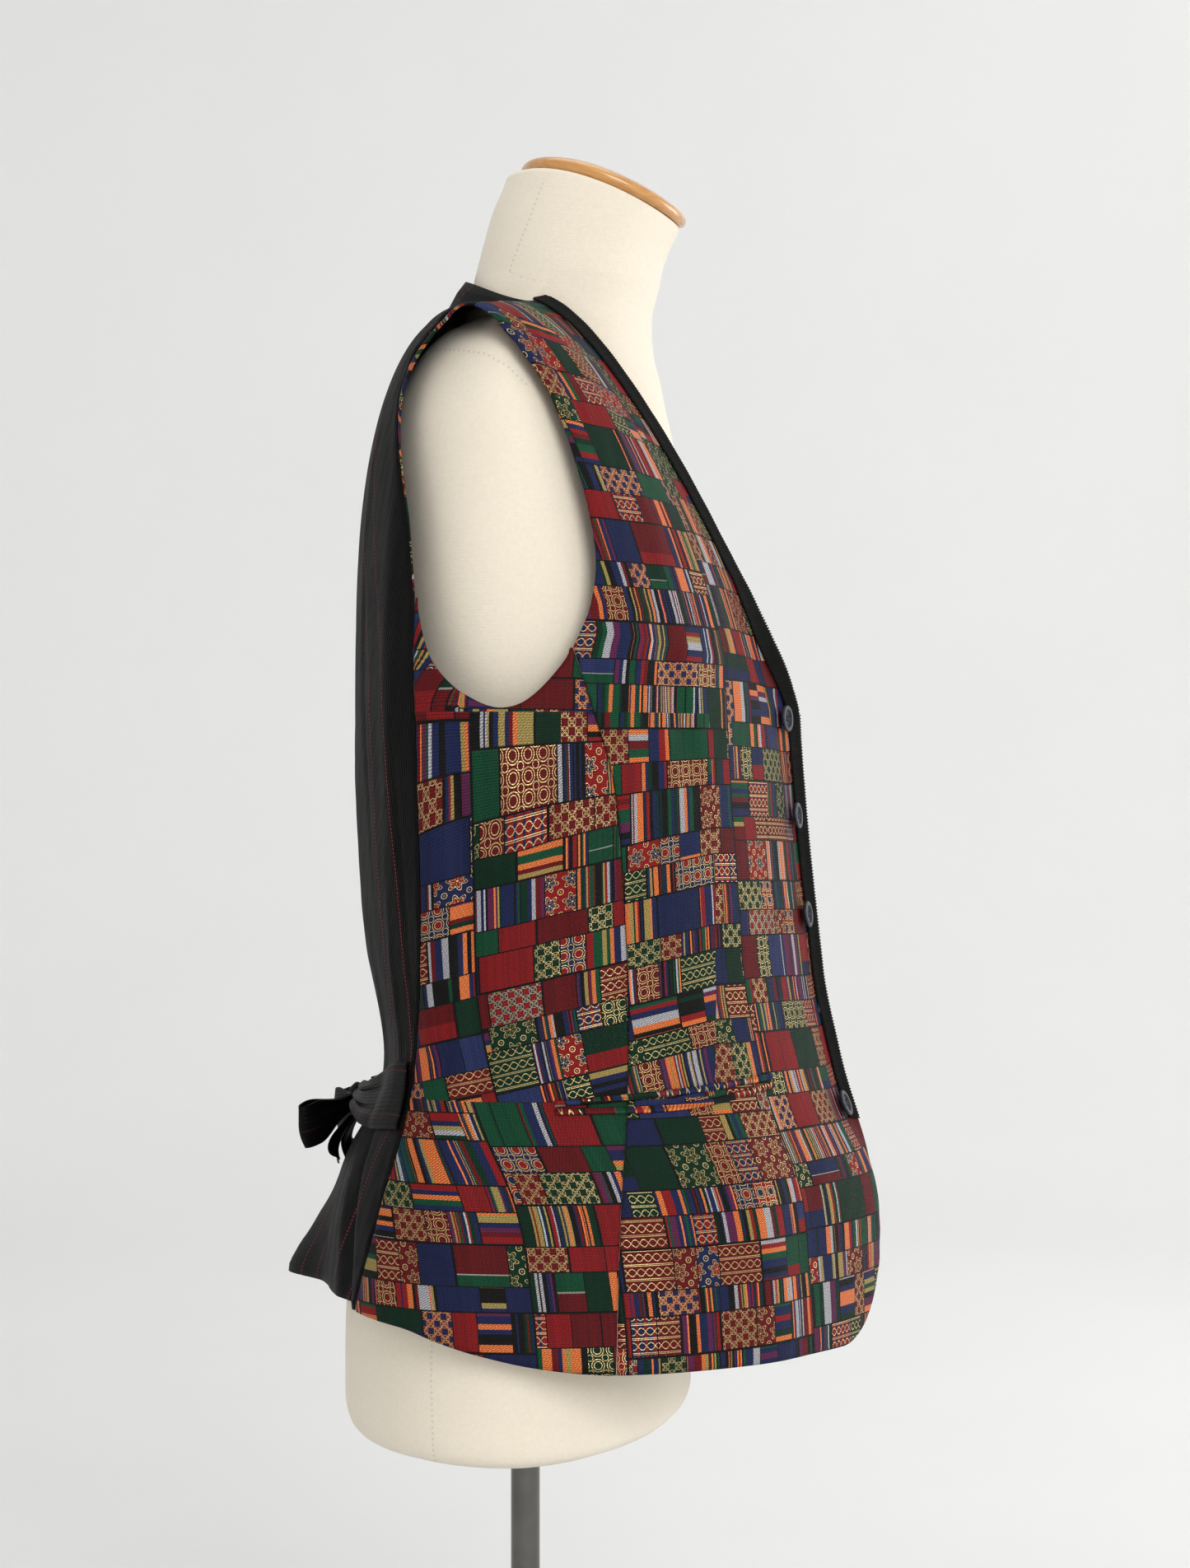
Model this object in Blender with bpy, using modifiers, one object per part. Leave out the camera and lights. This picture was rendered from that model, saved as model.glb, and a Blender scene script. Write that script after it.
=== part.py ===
"""A gilet on a limbless counter-top dress form, built piece by piece.

Lengths in the tables are millimetres. Z is up, the front faces -Y and the
wearer's right is -X. The origin is on the floor, under the pole.
"""
import math

import bmesh
import bpy
from mathutils import Matrix, Vector

MM = 0.001
COLLECTION = "gilet_on_dress_form"

# Cloth and seams
CLOTH = 2.0
GAP = 0.3
OVERLAY_GAP = 0.5

# Gilet, driving dimensions
ARMHOLE_LEVEL = 645.0
ARCH_SPAN = 210.0
TOP_RISE = ARMHOLE_LEVEL + ARCH_SPAN
FRONT_TOP = TOP_RISE - 2.6
SHOULDER_ARM_FRONT = 76.0
SHOULDER_ARM_BACK = 104.0
SHOULDER_AT_CENTRE = 876.5
SHOULDER_DROP = 0.155
RIDGE_AT_CENTRE = 25.3
RIDGE_SLOPE = 0.153
BACK_ARCH = 3.14
FRONT_ARCH = 1.02
FRONT_ARCH_SLOPE = 0.0052
BUST_ROUNDING = 0.17
BUST_REACH = 14.0
PROW_DEPTH = 14.0
PROW_LENGTH = 45.0
PROW_ROUNDING = 16.0
PROW_FULL_ANGLE = 15.0
PROW_GONE_ANGLE = 95.0
EDGE_STAND = 16.0
EDGE_REACH = 8.0
EDGE_SINK = 0.9
EDGE_MARGIN = 3.0
EDGE_LEVELS = (380.0, 430.0, 650.0, 720.0)
UNDERLAP_RISE = 3.0
UNDERLAP_REACH = 22.0
UNDERLAP_FULL_HEIGHT = 645.0
UNDERLAP_GONE_HEIGHT = 672.0
FLARE_WIDTH = 38.0
LAP = 12.0
CORNER_HEIGHT = 108.0
CORNER_END = 54.0
HEM_FRONT = 303.0
TUCK_DEPTH = 3.5
TUCK_FULL_ASIDE = 22.0
TUCK_GONE_ASIDE = 62.0
TUCK_FULL_HEIGHT = 664.0
TUCK_GONE_HEIGHT = 720.0
NECK_CENTRE = 21.0
NECK_RADIUS = 61.0
COLLAR_HEIGHT = 26.0
COLLAR_LEAN = 8.0
COLLAR_BEND = 30.0
COLLAR_LEAST_ANGLE = 120.0

# Grids of the cloth pieces
FRONT_ROWS = 32
FRONT_COLUMNS = 12
BACK_ROWS = 30
BACK_COLUMNS = 14
NECK_COLUMN = 6
SIDE_ROWS = 18
SIDE_COLUMNS = 7
TRIM_COLUMNS = 3
WELT_COLUMNS = 10
BELT_COLUMNS = 16
END_CROWDING = 0.45

# Trim, pocket, buttons and belt
TRIM_WIDTH = 11.5
TRIM_THICK = 1.2
TRIM_END = 419.0
LEFT_TRIM_START = 674.0
WELT_THICK = 1.4
WELT_WIDTH = 3.6
POCKET_LEVEL = 442.5
POCKET_GAPE = 3.2
POCKET_BACK = 40.0
POCKET_FRONT = 146.0
BUTTON_RADIUS = 7.4
BUTTON_THICK = 2.8
BUTTON_INSET = 15.5
BUTTON_TILT = 10.0
BUTTON_HEIGHTS = {"1": 642.0, "2": 588.0, "3": 533.0, "5": 427.0}
BELT_THICK = 1.8
BELT_HALF_WIDTH = 18.0
BELT_KNOT_HALF_WIDTH = 6.5
BELT_SEAM_LEVEL = 443.0
BELT_KNOT_LEVEL = 426.0
BELT_LIFT = 9.0
BELT_CLEAR = 1.2
BELT_END_ASIDE = 10.7
FACING_THICK = 1.2
FACING_TOP_DROP = 5.0

# Bow at the centre back
BOW_BACK = 94.4
BOW_LEVEL = 428.0
KNOT_HALF_WIDTH = 11.0
KNOT_HALF_DEPTH = 8.5
KNOT_HALF_HEIGHT = 9.0
LOOP_RADII = (23.0, 5.0, 13.0)
LOOP_PINCH = 0.55
LOOP_TILT = 24.0
LOOP_SWEEP = 24.0
LOOP_DROOP = 0.55
LOOP_SINK = 1.6
TAIL_ROWS = 7
TAIL_WIDTH = 22.0
TAIL_LENGTH = 30.0
TAIL_SLANT = 9.0
TAIL_START_ASIDE = 5.2
TAIL_SPREAD = 16.0
TAIL_START_DROP = 9.1
TAIL_START_BACK = 3.0
TAIL_ROOT_SHARE = 0.44
TAIL_BULGE = 8.5
TAIL_BULGE_TURN = 2.2
TAIL_CUP = 1.6
TAIL_CUP_TURN = 2.4
TAIL_HANG = 0.92

# Dress form
TORSO_BOTTOM = 253.0
POLE_RADIUS = 8.2
BASE_RADIUS = 150.0
BASE_THICK = 14.0
BASE_RISE = 7.0
BASE_EDGE = 5.0
CAP_RADIUS = 48.5
CAP_TILT = 17.6
CAP_FORWARD = 5.0
CAP_RIM = 7.5
CAP_THICK = 10.0
FORM_SEGMENTS = 32

# Body of the gilet: inner face at the centre front, centre back and side
BODY_COLUMNS = ("height", "front", "back", "half_width", "widest", "fullness", "flare")
BODY_SECTIONS = (
    (300.0, 198.5, 101.0, 181.0, 5.0, 2.40, 38.0),
    (332.0, 198.0, 100.0, 178.0, 5.0, 2.40, 34.0),
    (351.0, 197.5, 98.0, 175.0, 4.0, 2.40, 25.0),
    (374.0, 196.5, 95.0, 171.0, 3.0, 2.40, 14.0),
    (401.0, 192.0, 88.5, 166.0, 2.0, 2.35, 9.0),
    (420.0, 186.0, 80.5, 162.0, 1.0, 2.30, 5.0),
    (443.0, 178.5, 71.0, 158.0, 0.0, 2.25, 0.0),
    (466.0, 173.0, 69.5, 156.0, -1.0, 2.20, 0.0),
    (492.0, 167.5, 74.0, 156.0, -2.0, 2.15, 0.0),
    (515.0, 164.5, 79.0, 158.0, -3.0, 2.10, 0.0),
    (560.0, 159.5, 83.5, 163.0, -4.0, 2.05, 0.0),
    (607.0, 155.0, 86.5, 168.0, -5.0, 2.00, 0.0),
    (645.0, 152.0, 87.5, 170.0, -5.0, 2.00, 0.0),
)

# Neckline of a front: distance from the centre line by height
V_COLUMNS = ("height", "aside")
V_NECK = (
    (600.0, -12.0),
    (630.0, -10.0),
    (648.0, -4.0),
    (662.0, 2.0),
    (684.0, 12.0),
    (711.0, 21.0),
    (741.0, 30.0),
    (789.0, 44.0),
    (818.0, 51.0),
    (844.0, 56.5),
    (866.5, 62.0),
)

# Hem height round the body, by angle from the centre front
HEM_COLUMNS = ("angle", "height")
HEM = (
    (0.0, HEM_FRONT),
    (40.0, 303.0),
    (68.0, 305.5),
    (82.0, 310.5),
    (96.0, 320.5),
    (110.0, 328.0),
    (150.0, 333.0),
    (180.0, 329.0),
)

# Seam between front and side panel, by height
FRONT_SEAM_COLUMNS = ("height", "forward")
FRONT_SEAM = (
    (300.0, 74.0),
    (377.0, 74.5),
    (451.0, 76.0),
    (535.0, 74.5),
    (606.0, 69.5),
    (650.0, 58.0),
    (676.0, 50.0),
)

# Seam between side and back panel, by height
BACK_SEAM_COLUMNS = ("height", "forward")
BACK_SEAM = (
    (300.0, -72.0),
    (332.0, -66.0),
    (381.0, -52.0),
    (414.0, -42.5),
    (449.0, -36.0),
    (492.0, -31.0),
    (530.0, -28.0),
    (618.0, -29.5),
    (670.0, -31.5),
    (702.0, -30.5),
)

# Armhole, from the front seam up to the shoulder
ARM_FRONT_COLUMNS = ("height", "forward")
ARM_FRONT = (
    (676.0, 50.0),
    (695.0, 57.5),
    (717.0, 60.5),
    (738.0, 58.5),
    (763.0, 52.5),
    (789.0, 44.0),
    (812.0, 34.0),
    (828.0, 23.5),
    (841.0, 13.0),
)

# Armhole, under the arm from the front seam to the back seam
ARM_UNDER_COLUMNS = ("forward", "height")
ARM_UNDER = (
    (-30.5, 702.0),
    (-23.0, 674.0),
    (-12.0, 658.5),
    (-1.0, 650.5),
    (12.0, 645.2),
    (24.0, 647.0),
    (34.0, 654.5),
    (44.0, 666.5),
    (50.0, 676.0),
)

# Armhole, from the back seam up to the shoulder
ARM_BACK_COLUMNS = ("height", "forward")
ARM_BACK = (
    (702.0, -30.5),
    (738.0, -33.5),
    (763.0, -37.0),
    (785.0, -40.0),
    (806.0, -40.5),
    (822.0, -35.5),
    (835.0, -25.0),
    (845.0, -12.0),
)

# Brocade facing that shows beside the back edge of the armhole
FACING_COLUMNS = ("height", "width")
FACING = (
    (705.0, 1.0),
    (760.0, 1.4),
    (795.0, 3.0),
    (815.0, 7.0),
    (840.0, 6.0),
    (851.0, 4.0),
)

# Soft folds: angle, height, half spans, depth outward and lean of each
FOLD_COLUMNS = ("angle", "height", "span", "rise", "depth", "lean")
FOLDS = (
    (83.0, 610.0, 5.0, 46.0, 2.2, 0.10),
    (93.0, 590.0, 4.5, 60.0, -2.4, 0.06),
    (103.0, 560.0, 6.0, 60.0, 2.2, -0.04),
    (52.0, 600.0, 5.0, 50.0, -1.4, -0.04),
    (96.0, 380.0, 7.0, 55.0, 3.0, 0.02),
    (84.0, 370.0, 6.0, 60.0, -2.6, 0.04),
    (40.0, 360.0, 7.0, 60.0, 2.6, 0.02),
    (27.0, 370.0, 6.0, 60.0, -2.2, 0.00),
    (140.0, 352.0, 8.0, 58.0, -8.0, 0.03),
    (150.0, 560.0, 6.0, 90.0, 2.4, 0.00),
    (164.0, 600.0, 5.0, 90.0, -2.0, 0.00),
    (120.0, 640.0, 5.0, 80.0, 2.0, -0.03),
)

# Torso of the form: body and neck outline at each height
FORM_COLUMNS = ("height", "front", "back", "half_width", "neck_front", "neck_back", "neck_half")
FORM_SECTIONS = (
    (253.0, 78.0, 84.0, 152.0, 5.0, 5.0, 5.0),
    (255.5, 86.0, 92.0, 160.5, 5.0, 5.0, 5.0),
    (262.0, 91.0, 96.0, 165.5, 5.0, 5.0, 5.0),
    (273.0, 92.0, 97.5, 167.0, 5.0, 5.0, 5.0),
    (330.0, 92.0, 96.0, 167.0, 5.0, 5.0, 5.0),
    (374.0, 92.0, 88.0, 160.0, 5.0, 5.0, 5.0),
    (410.0, 91.0, 77.0, 146.0, 5.0, 5.0, 5.0),
    (443.0, 90.0, 65.0, 130.0, 5.0, 5.0, 5.0),
    (475.0, 91.0, 62.0, 121.0, 5.0, 5.0, 5.0),
    (515.0, 94.0, 66.0, 120.0, 5.0, 5.0, 5.0),
    (550.0, 103.0, 72.0, 126.0, 5.0, 5.0, 5.0),
    (590.0, 119.0, 77.0, 135.0, 5.0, 5.0, 5.0),
    (630.0, 133.0, 80.0, 144.0, 5.0, 5.0, 5.0),
    (655.0, 134.0, 81.0, 149.0, 5.0, 5.0, 5.0),
    (690.0, 120.0, 81.0, 153.0, 20.0, 10.0, 10.0),
    (730.0, 100.0, 80.0, 156.0, 80.0, 10.0, 30.0),
    (765.0, 84.0, 76.0, 157.0, 89.0, 10.0, 42.0),
    (795.0, 67.0, 70.0, 157.0, 84.0, 20.0, 48.0),
    (818.0, 49.0, 62.0, 153.0, 79.0, 30.0, 51.0),
    (833.0, 35.0, 53.0, 145.0, 76.0, 34.0, 52.0),
    (844.0, 24.0, 43.0, 127.0, 73.0, 34.5, 53.0),
    (855.5, 15.0, 24.0, 96.0, 71.5, 33.0, 53.0),
    (864.0, 9.0, 4.0, 64.0, 71.5, 32.0, 53.5),
    (870.0, 7.0, 8.0, 40.0, 71.8, 31.5, 53.3),
)
FORM_CENTRE = 10.0
NECK_BLEND = 16

# Neck of the form above the shoulders, leaning forward to a tilted top
NECK_COLUMNS = ("centre_forward", "centre_height", "half_depth", "half_width", "tilt")
NECK_RINGS = (
    (23.5, 887.0, 52.0, 53.0, 2.0),
    (28.0, 905.0, 51.0, 51.5, 7.0),
    (33.5, 922.0, 51.0, 50.5, 13.0),
    (38.5, 937.0, 51.0, 50.0, CAP_TILT),
)

MATERIALS = {
    "brocade": ((0.20, 0.09, 0.11), 0.55, 0.0),
    "satin": ((0.012, 0.012, 0.014), 0.38, 0.0),
    "braid": ((0.010, 0.010, 0.010), 0.85, 0.0),
    "jersey": ((0.72, 0.66, 0.55), 0.85, 0.0),
    "wood": ((0.62, 0.33, 0.11), 0.30, 0.0),
    "chrome": ((0.75, 0.75, 0.77), 0.08, 1.0),
    "button": ((0.015, 0.018, 0.03), 0.22, 0.0),
}


def column(table, names, name):
    """One named column of a table."""
    where = names.index(name)
    return [row[where] for row in table]


def smooth_lookup(keys, values, key):
    """Cubic reading of a column that passes through each of its rows."""
    count = len(keys)
    if key <= keys[0]:
        return values[0]
    if key >= keys[-1]:
        return values[-1]
    low = 0
    while keys[low + 1] < key:
        low += 1
    span = keys[low + 1] - keys[low]
    t = (key - keys[low]) / span
    slopes = []
    for index in (low, low + 1):
        before = max(index - 1, 0)
        after = min(index + 1, count - 1)
        slopes.append((values[after] - values[before]) / (keys[after] - keys[before]) * span)
    return (
        values[low] * (2 * t ** 3 - 3 * t ** 2 + 1)
        + slopes[0] * (t ** 3 - 2 * t ** 2 + t)
        + values[low + 1] * (3 * t ** 2 - 2 * t ** 3)
        + slopes[1] * (t ** 3 - t ** 2)
    )


def named(names, row):
    """Values of a table's row by the names of its columns."""
    return dict(zip(names, row))


def read(table, names, key, name):
    """Value of a column at a key in the table's first column."""
    return smooth_lookup([row[0] for row in table], column(table, names, name), key)


def smoothstep(start, end, value):
    """Soft step from 0 to 1."""
    t = min(max((value - start) / (end - start), 0.0), 1.0)
    return t * t * (3.0 - 2.0 * t)


def blend(first, second, share):
    """Straight mix of two numbers."""
    return first + (second - first) * share


def signed_power(value, power):
    """Power of a number that keeps its sign."""
    return math.copysign(abs(value) ** power, value)


def body_section(height, angle):
    """Point of the gilet's section: distance aside and forward."""
    front = read(BODY_SECTIONS, BODY_COLUMNS, height, "front")
    back = read(BODY_SECTIONS, BODY_COLUMNS, height, "back")
    half_width = read(BODY_SECTIONS, BODY_COLUMNS, height, "half_width")
    widest = read(BODY_SECTIONS, BODY_COLUMNS, height, "widest")
    turn = math.radians(angle)
    if abs(angle) <= 90.0:
        aside = half_width * math.sin(turn)
        away = math.hypot(aside, PROW_ROUNDING) - PROW_ROUNDING
        prow = PROW_DEPTH * (1.0 - math.exp(-away / PROW_LENGTH))
        prow *= smoothstep(PROW_GONE_ANGLE, PROW_FULL_ANGLE, abs(angle))
        return aside, widest + (front - widest) * math.cos(turn) - prow
    power = 2.0 / read(BODY_SECTIONS, BODY_COLUMNS, height, "fullness")
    flare = read(BODY_SECTIONS, BODY_COLUMNS, height, "flare")
    aside = half_width * signed_power(math.sin(turn), power)
    forward = widest - (widest + back) * abs(math.cos(turn)) ** power
    return aside, forward - flare * math.exp(-(aside / FLARE_WIDTH) ** 2)


def shoulder_height(aside):
    """Height of the shoulder seam."""
    return SHOULDER_AT_CENTRE - SHOULDER_DROP * abs(aside)


def shoulder_forward(aside):
    """Distance forward of the shoulder seam."""
    return RIDGE_AT_CENTRE - RIDGE_SLOPE * abs(aside)


def arch_power(aside, angle):
    """Roundness of the arch from the armhole level over the shoulder."""
    if abs(angle) > 90.0:
        return BACK_ARCH
    rounding = BUST_ROUNDING * math.exp(-(aside / BUST_REACH) ** 2)
    return FRONT_ARCH + FRONT_ARCH_SLOPE * abs(aside) + rounding


def fold_depth(angle, height):
    """Outward movement of the soft folds."""
    total = 0.0
    for row in FOLDS:
        fold = named(FOLD_COLUMNS, row)
        level = height - fold["height"]
        across = (angle - fold["angle"] - fold["lean"] * level) / fold["span"]
        along = level / fold["rise"]
        total += fold["depth"] * math.exp(-across * across - along * along)
    return total


def edge_stand(height):
    """How far the front edge stands out at a height."""
    bottom, full, still_full, top = EDGE_LEVELS
    return EDGE_STAND * smoothstep(bottom, full, height) * smoothstep(top, still_full, height)


def edge_aside(height):
    """Distance aside of the front edge, above its rounded corner."""
    return -LAP if height <= V_NECK[0][0] else read(V_NECK, V_COLUMNS, height, "aside")


def edge_distance(aside, height):
    """Distance aside of a point from the front edge."""
    return max(aside - edge_aside(height), -EDGE_MARGIN)


def edge_form(aside, angle, height):
    """Movement forward beside the front edge: a hollow, and the edge that stands out of it."""
    if abs(angle) > 90.0:
        return 0.0
    away = edge_distance(aside, height)
    hollow = EDGE_SINK * math.exp(-away / PROW_LENGTH)
    hollow *= smoothstep(PROW_GONE_ANGLE, PROW_FULL_ANGLE, abs(angle))
    return edge_stand(height) * (math.exp(-away / EDGE_REACH) - hollow)


def base_point(angle, rise):
    """Gilet point from its angle and rise, before the folds.

    Up to the armhole level the rise is the height. Above it the rise runs
    evenly along the arch and ends on the shoulder seam.
    """
    if rise <= ARMHOLE_LEVEL:
        aside, forward = body_section(rise, angle)
        return Vector((aside, forward + edge_form(aside, angle, rise), rise))
    aside, forward = body_section(ARMHOLE_LEVEL, angle)
    top = shoulder_height(aside)
    ridge = shoulder_forward(aside)
    share = min((rise - ARMHOLE_LEVEL) / ARCH_SPAN, 1.0)
    power = 2.0 / arch_power(aside, angle)
    turn = share * math.pi / 2.0
    height = ARMHOLE_LEVEL + (top - ARMHOLE_LEVEL) * math.sin(turn) ** power
    forward = ridge + (forward - ridge) * math.cos(turn) ** power
    return Vector((aside, forward + edge_form(aside, angle, height), height))


def surface_normal(angle, rise):
    """Outward direction of the gilet's surface."""
    step = 0.5
    low = max(rise - step, 290.0)
    high = min(rise + step, TOP_RISE - 0.01)
    if high - low < step:
        low = high - step
    across = base_point(angle + step, rise) - base_point(angle - step, rise)
    along = base_point(angle, high) - base_point(angle, low)
    normal = along.cross(across).normalized()
    turn = math.radians(angle)
    outward = Vector((math.sin(turn), math.cos(turn), 0.3))
    return -normal if normal.dot(outward) < 0 else normal


def cloth_point(angle, rise, offset=0.0):
    """Point of the cloth's inner face, folds included, moved out by an offset."""
    lift = offset + fold_depth(angle, rise)
    return base_point(angle, rise) + surface_normal(angle, rise) * lift


def rise_at(height, angle):
    """Rise of the surface point at a height."""
    if height <= ARMHOLE_LEVEL:
        return height
    aside = body_section(ARMHOLE_LEVEL, angle)[0]
    share = min((height - ARMHOLE_LEVEL) / (shoulder_height(aside) - ARMHOLE_LEVEL), 1.0)
    turn = math.asin(share ** (arch_power(aside, angle) / 2.0))
    return ARMHOLE_LEVEL + ARCH_SPAN * turn / (math.pi / 2.0)


def angle_of_aside(aside, height):
    """Angle on the front where the surface lies a distance aside."""
    half_width = read(BODY_SECTIONS, BODY_COLUMNS, min(height, ARMHOLE_LEVEL), "half_width")
    return math.degrees(math.asin(aside / half_width))


def angle_of_forward(forward, height, start, end):
    """Angle between two angles where the surface lies a distance forward."""
    for _ in range(40):
        middle = (start + end) / 2.0
        if base_point(middle, rise_at(height, middle)).y > forward:
            start = middle
        else:
            end = middle
    return (start + end) / 2.0


def front_seam_angle(height):
    """Angle of the front seam, or of the armhole's front edge above it."""
    if height <= FRONT_SEAM[-1][0]:
        forward = read(FRONT_SEAM, FRONT_SEAM_COLUMNS, height, "forward")
    else:
        forward = read(ARM_FRONT, ARM_FRONT_COLUMNS, height, "forward")
    return angle_of_forward(forward, height, 20.0, 90.0)


def back_seam_angle(height):
    """Angle of the back seam, or of the armhole's back edge above it."""
    if height <= BACK_SEAM[-1][0]:
        forward = read(BACK_SEAM, BACK_SEAM_COLUMNS, height, "forward")
    else:
        forward = read(ARM_BACK, ARM_BACK_COLUMNS, height, "forward")
    return angle_of_forward(forward, height, 90.0, 160.0)


def resample(points, count, crowding=END_CROWDING):
    """Points along a line of points, closer together towards its ends."""
    lengths = [0.0]
    for before, after in zip(points, points[1:]):
        lengths.append(lengths[-1] + math.dist(before[:3], after[:3]))
    result = []
    low = 0
    for index in range(count + 1):
        even = index / count
        target = lengths[-1] * blend(even, smoothstep(0.0, 1.0, even), crowding)
        while low < len(lengths) - 2 and lengths[low + 1] < target:
            low += 1
        span = lengths[low + 1] - lengths[low]
        share = (target - lengths[low]) / span if span else 0.0
        first = points[low]
        second = points[low + 1]
        result.append(tuple(blend(a, b, share) for a, b in zip(first, second)))
    return result


def edge_line(points):
    """Line of (angle, rise) pairs with its real points put in front."""
    line = []
    for angle, rise in points:
        spot = base_point(angle, rise)
        line.append((spot.x, spot.y, spot.z, angle, rise))
    return line


def front_edge(rows):
    """Front edge of a front: corner, centre front and neckline."""
    points = []
    for index in range(13):
        turn = math.radians(90.0 * index / 12)
        aside = CORNER_END - (CORNER_END + LAP) * math.sin(turn)
        height = HEM_FRONT + CORNER_HEIGHT * (1.0 - math.cos(turn))
        points.append((angle_of_aside(aside, height), height))
    height = HEM_FRONT + CORNER_HEIGHT + 10.0
    while height < V_NECK[0][0]:
        points.append((angle_of_aside(-LAP, height), height))
        height += 10.0
    last = V_NECK[-1][0]
    while height < last:
        angle = angle_of_aside(read(V_NECK, V_COLUMNS, height, "aside"), height)
        points.append((angle, rise_at(height, angle)))
        height += 6.0
    points.append((angle_of_aside(V_NECK[-1][1], last), FRONT_TOP))
    return [pair[3:] for pair in resample(edge_line(points), rows)]


def seam_line(seam_angle, start, end):
    """Points of a seam or armhole edge between two heights."""
    count = 40
    points = []
    for index in range(count + 1):
        height = blend(start, end, index / count)
        angle = seam_angle(height)
        points.append((angle, rise_at(height, angle)))
    return points


def arm_edge(rows, seam_angle, table, shoulder_angle, top):
    """Outer edge of a front or back: seam, then armhole up to the shoulder.

    The seam has as many rows as the side panel that is sewn to it.
    """
    hem = read(HEM, HEM_COLUMNS, seam_angle(HEM_FRONT + 12.0), "height")
    seam = resample(edge_line(seam_line(seam_angle, hem, table[0][0])), SIDE_ROWS, 0.0)
    armhole = seam_line(seam_angle, table[0][0], table[-1][0])
    end_angle, end_rise = armhole[-1]
    armhole.append((blend(end_angle, shoulder_angle, 0.6), blend(end_rise, top, 0.6)))
    armhole.append((shoulder_angle, top))
    upper = resample(edge_line(armhole), rows - SIDE_ROWS, 0.0)
    return [pair[3:] for pair in seam[:-1] + upper]


def nudge(angle, rise, distance):
    """Angle moved along the cloth by a distance in millimetres."""
    speed = (base_point(angle + 0.5, rise) - base_point(angle - 0.5, rise)).length
    return angle + distance / max(speed, 0.5)


def front_grid():
    """Angle and rise of each point of a front, row by row from the hem."""
    inner = front_edge(FRONT_ROWS)
    outer = arm_edge(FRONT_ROWS, front_seam_angle, ARM_FRONT, SHOULDER_ARM_FRONT, FRONT_TOP)
    grid = []
    for (start, low), (end, high) in zip(inner, outer):
        end = nudge(end, high, -GAP / 2.0)
        row = []
        step = TRIM_WIDTH / TRIM_COLUMNS
        for index in range(TRIM_COLUMNS):
            row.append((nudge(start, low, step * index), low))
        trimmed = nudge(start, low, TRIM_WIDTH)
        rest = FRONT_COLUMNS - TRIM_COLUMNS
        for index in range(rest + 1):
            share = (index / rest) ** 1.15
            row.append((blend(trimmed, end, share), blend(low, high, share)))
        grid.append(row)
    return grid


def side_grid():
    """Angle and rise of each point of a side panel."""
    front = arm_edge(FRONT_ROWS, front_seam_angle, ARM_FRONT, SHOULDER_ARM_FRONT, FRONT_TOP)
    back = arm_edge(BACK_ROWS, back_seam_angle, ARM_BACK, SHOULDER_ARM_BACK, TOP_RISE)
    tops = []
    for index in range(SIDE_COLUMNS + 1):
        forward = blend(ARM_UNDER[-1][0], ARM_UNDER[0][0], index / SIDE_COLUMNS)
        height = read(ARM_UNDER, ARM_UNDER_COLUMNS, forward, "height")
        tops.append((angle_of_forward(forward, height, 40.0, 150.0), height))
    grid = []
    for level in range(SIDE_ROWS + 1):
        share = level / SIDE_ROWS
        first = nudge(front[level][0], front[level][1], GAP / 2.0)
        last = nudge(back[level][0], back[level][1], -GAP / 2.0)
        row = [(first, front[level][1])]
        for index in range(1, SIDE_COLUMNS):
            across = index / SIDE_COLUMNS
            even = blend(first, last, across)
            top_angle, top_height = tops[index]
            hem = read(HEM, HEM_COLUMNS, blend(front[0][0], back[0][0], across), "height")
            height = blend(hem, top_height, share)
            angle = blend(even, top_angle, smoothstep(0.4, 1.0, share))
            row.append((angle, rise_at(height, angle)))
        row.append((last, back[level][1]))
        grid.append(row)
    return grid


def neck_rise(angle):
    """Rise at which the back meets the neckline."""
    aside = body_section(ARMHOLE_LEVEL, angle)[0]
    if aside >= NECK_RADIUS:
        return TOP_RISE
    target = NECK_CENTRE - math.sqrt(NECK_RADIUS ** 2 - aside ** 2)
    low = ARMHOLE_LEVEL
    high = TOP_RISE
    for _ in range(40):
        middle = (low + high) / 2.0
        if base_point(angle, middle).y < target:
            low = middle
        else:
            high = middle
    return low


def back_grid():
    """Angle and rise of each point of a back, and of its facing's edge."""
    outer = arm_edge(BACK_ROWS, back_seam_angle, ARM_BACK, SHOULDER_ARM_BACK, TOP_RISE)
    grid = []
    for level in range(BACK_ROWS + 1):
        end, end_rise = outer[level]
        share = (end_rise - outer[0][1]) / (TOP_RISE - outer[0][1])
        width = facing_width(base_point(end, end_rise).z)
        end = nudge(end, end_rise, GAP / 2.0 + width)
        row = []
        for index in range(BACK_COLUMNS + 1):
            even = blend(180.0, end, index / BACK_COLUMNS)
            if index <= NECK_COLUMN:
                round_neck = NECK_RADIUS * math.sin(math.radians(90.0 * index / NECK_COLUMN))
                above = 180.0 - angle_of_aside(round_neck, ARMHOLE_LEVEL)
                corner = above
            else:
                above = blend(corner, end, (index - NECK_COLUMN) / (BACK_COLUMNS - NECK_COLUMN))
            angle = blend(even, above, smoothstep(0.45, 0.95, share))
            hem = read(HEM, HEM_COLUMNS, angle, "height")
            top = neck_rise(angle) if index < NECK_COLUMN else TOP_RISE
            rise = blend(hem, top, share)
            if index == BACK_COLUMNS:
                rise = end_rise
            row.append((angle, rise))
        row[0] = (nudge(row[0][0], row[0][1], -GAP / 2.0), row[0][1])
        row.reverse()
        grid.append(row)
    return grid


def facing_width(height):
    """Width of the facing that shows, none below the armhole."""
    if height < FACING[0][0]:
        return 0.0
    return read(FACING, FACING_COLUMNS, height, "width")


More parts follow.
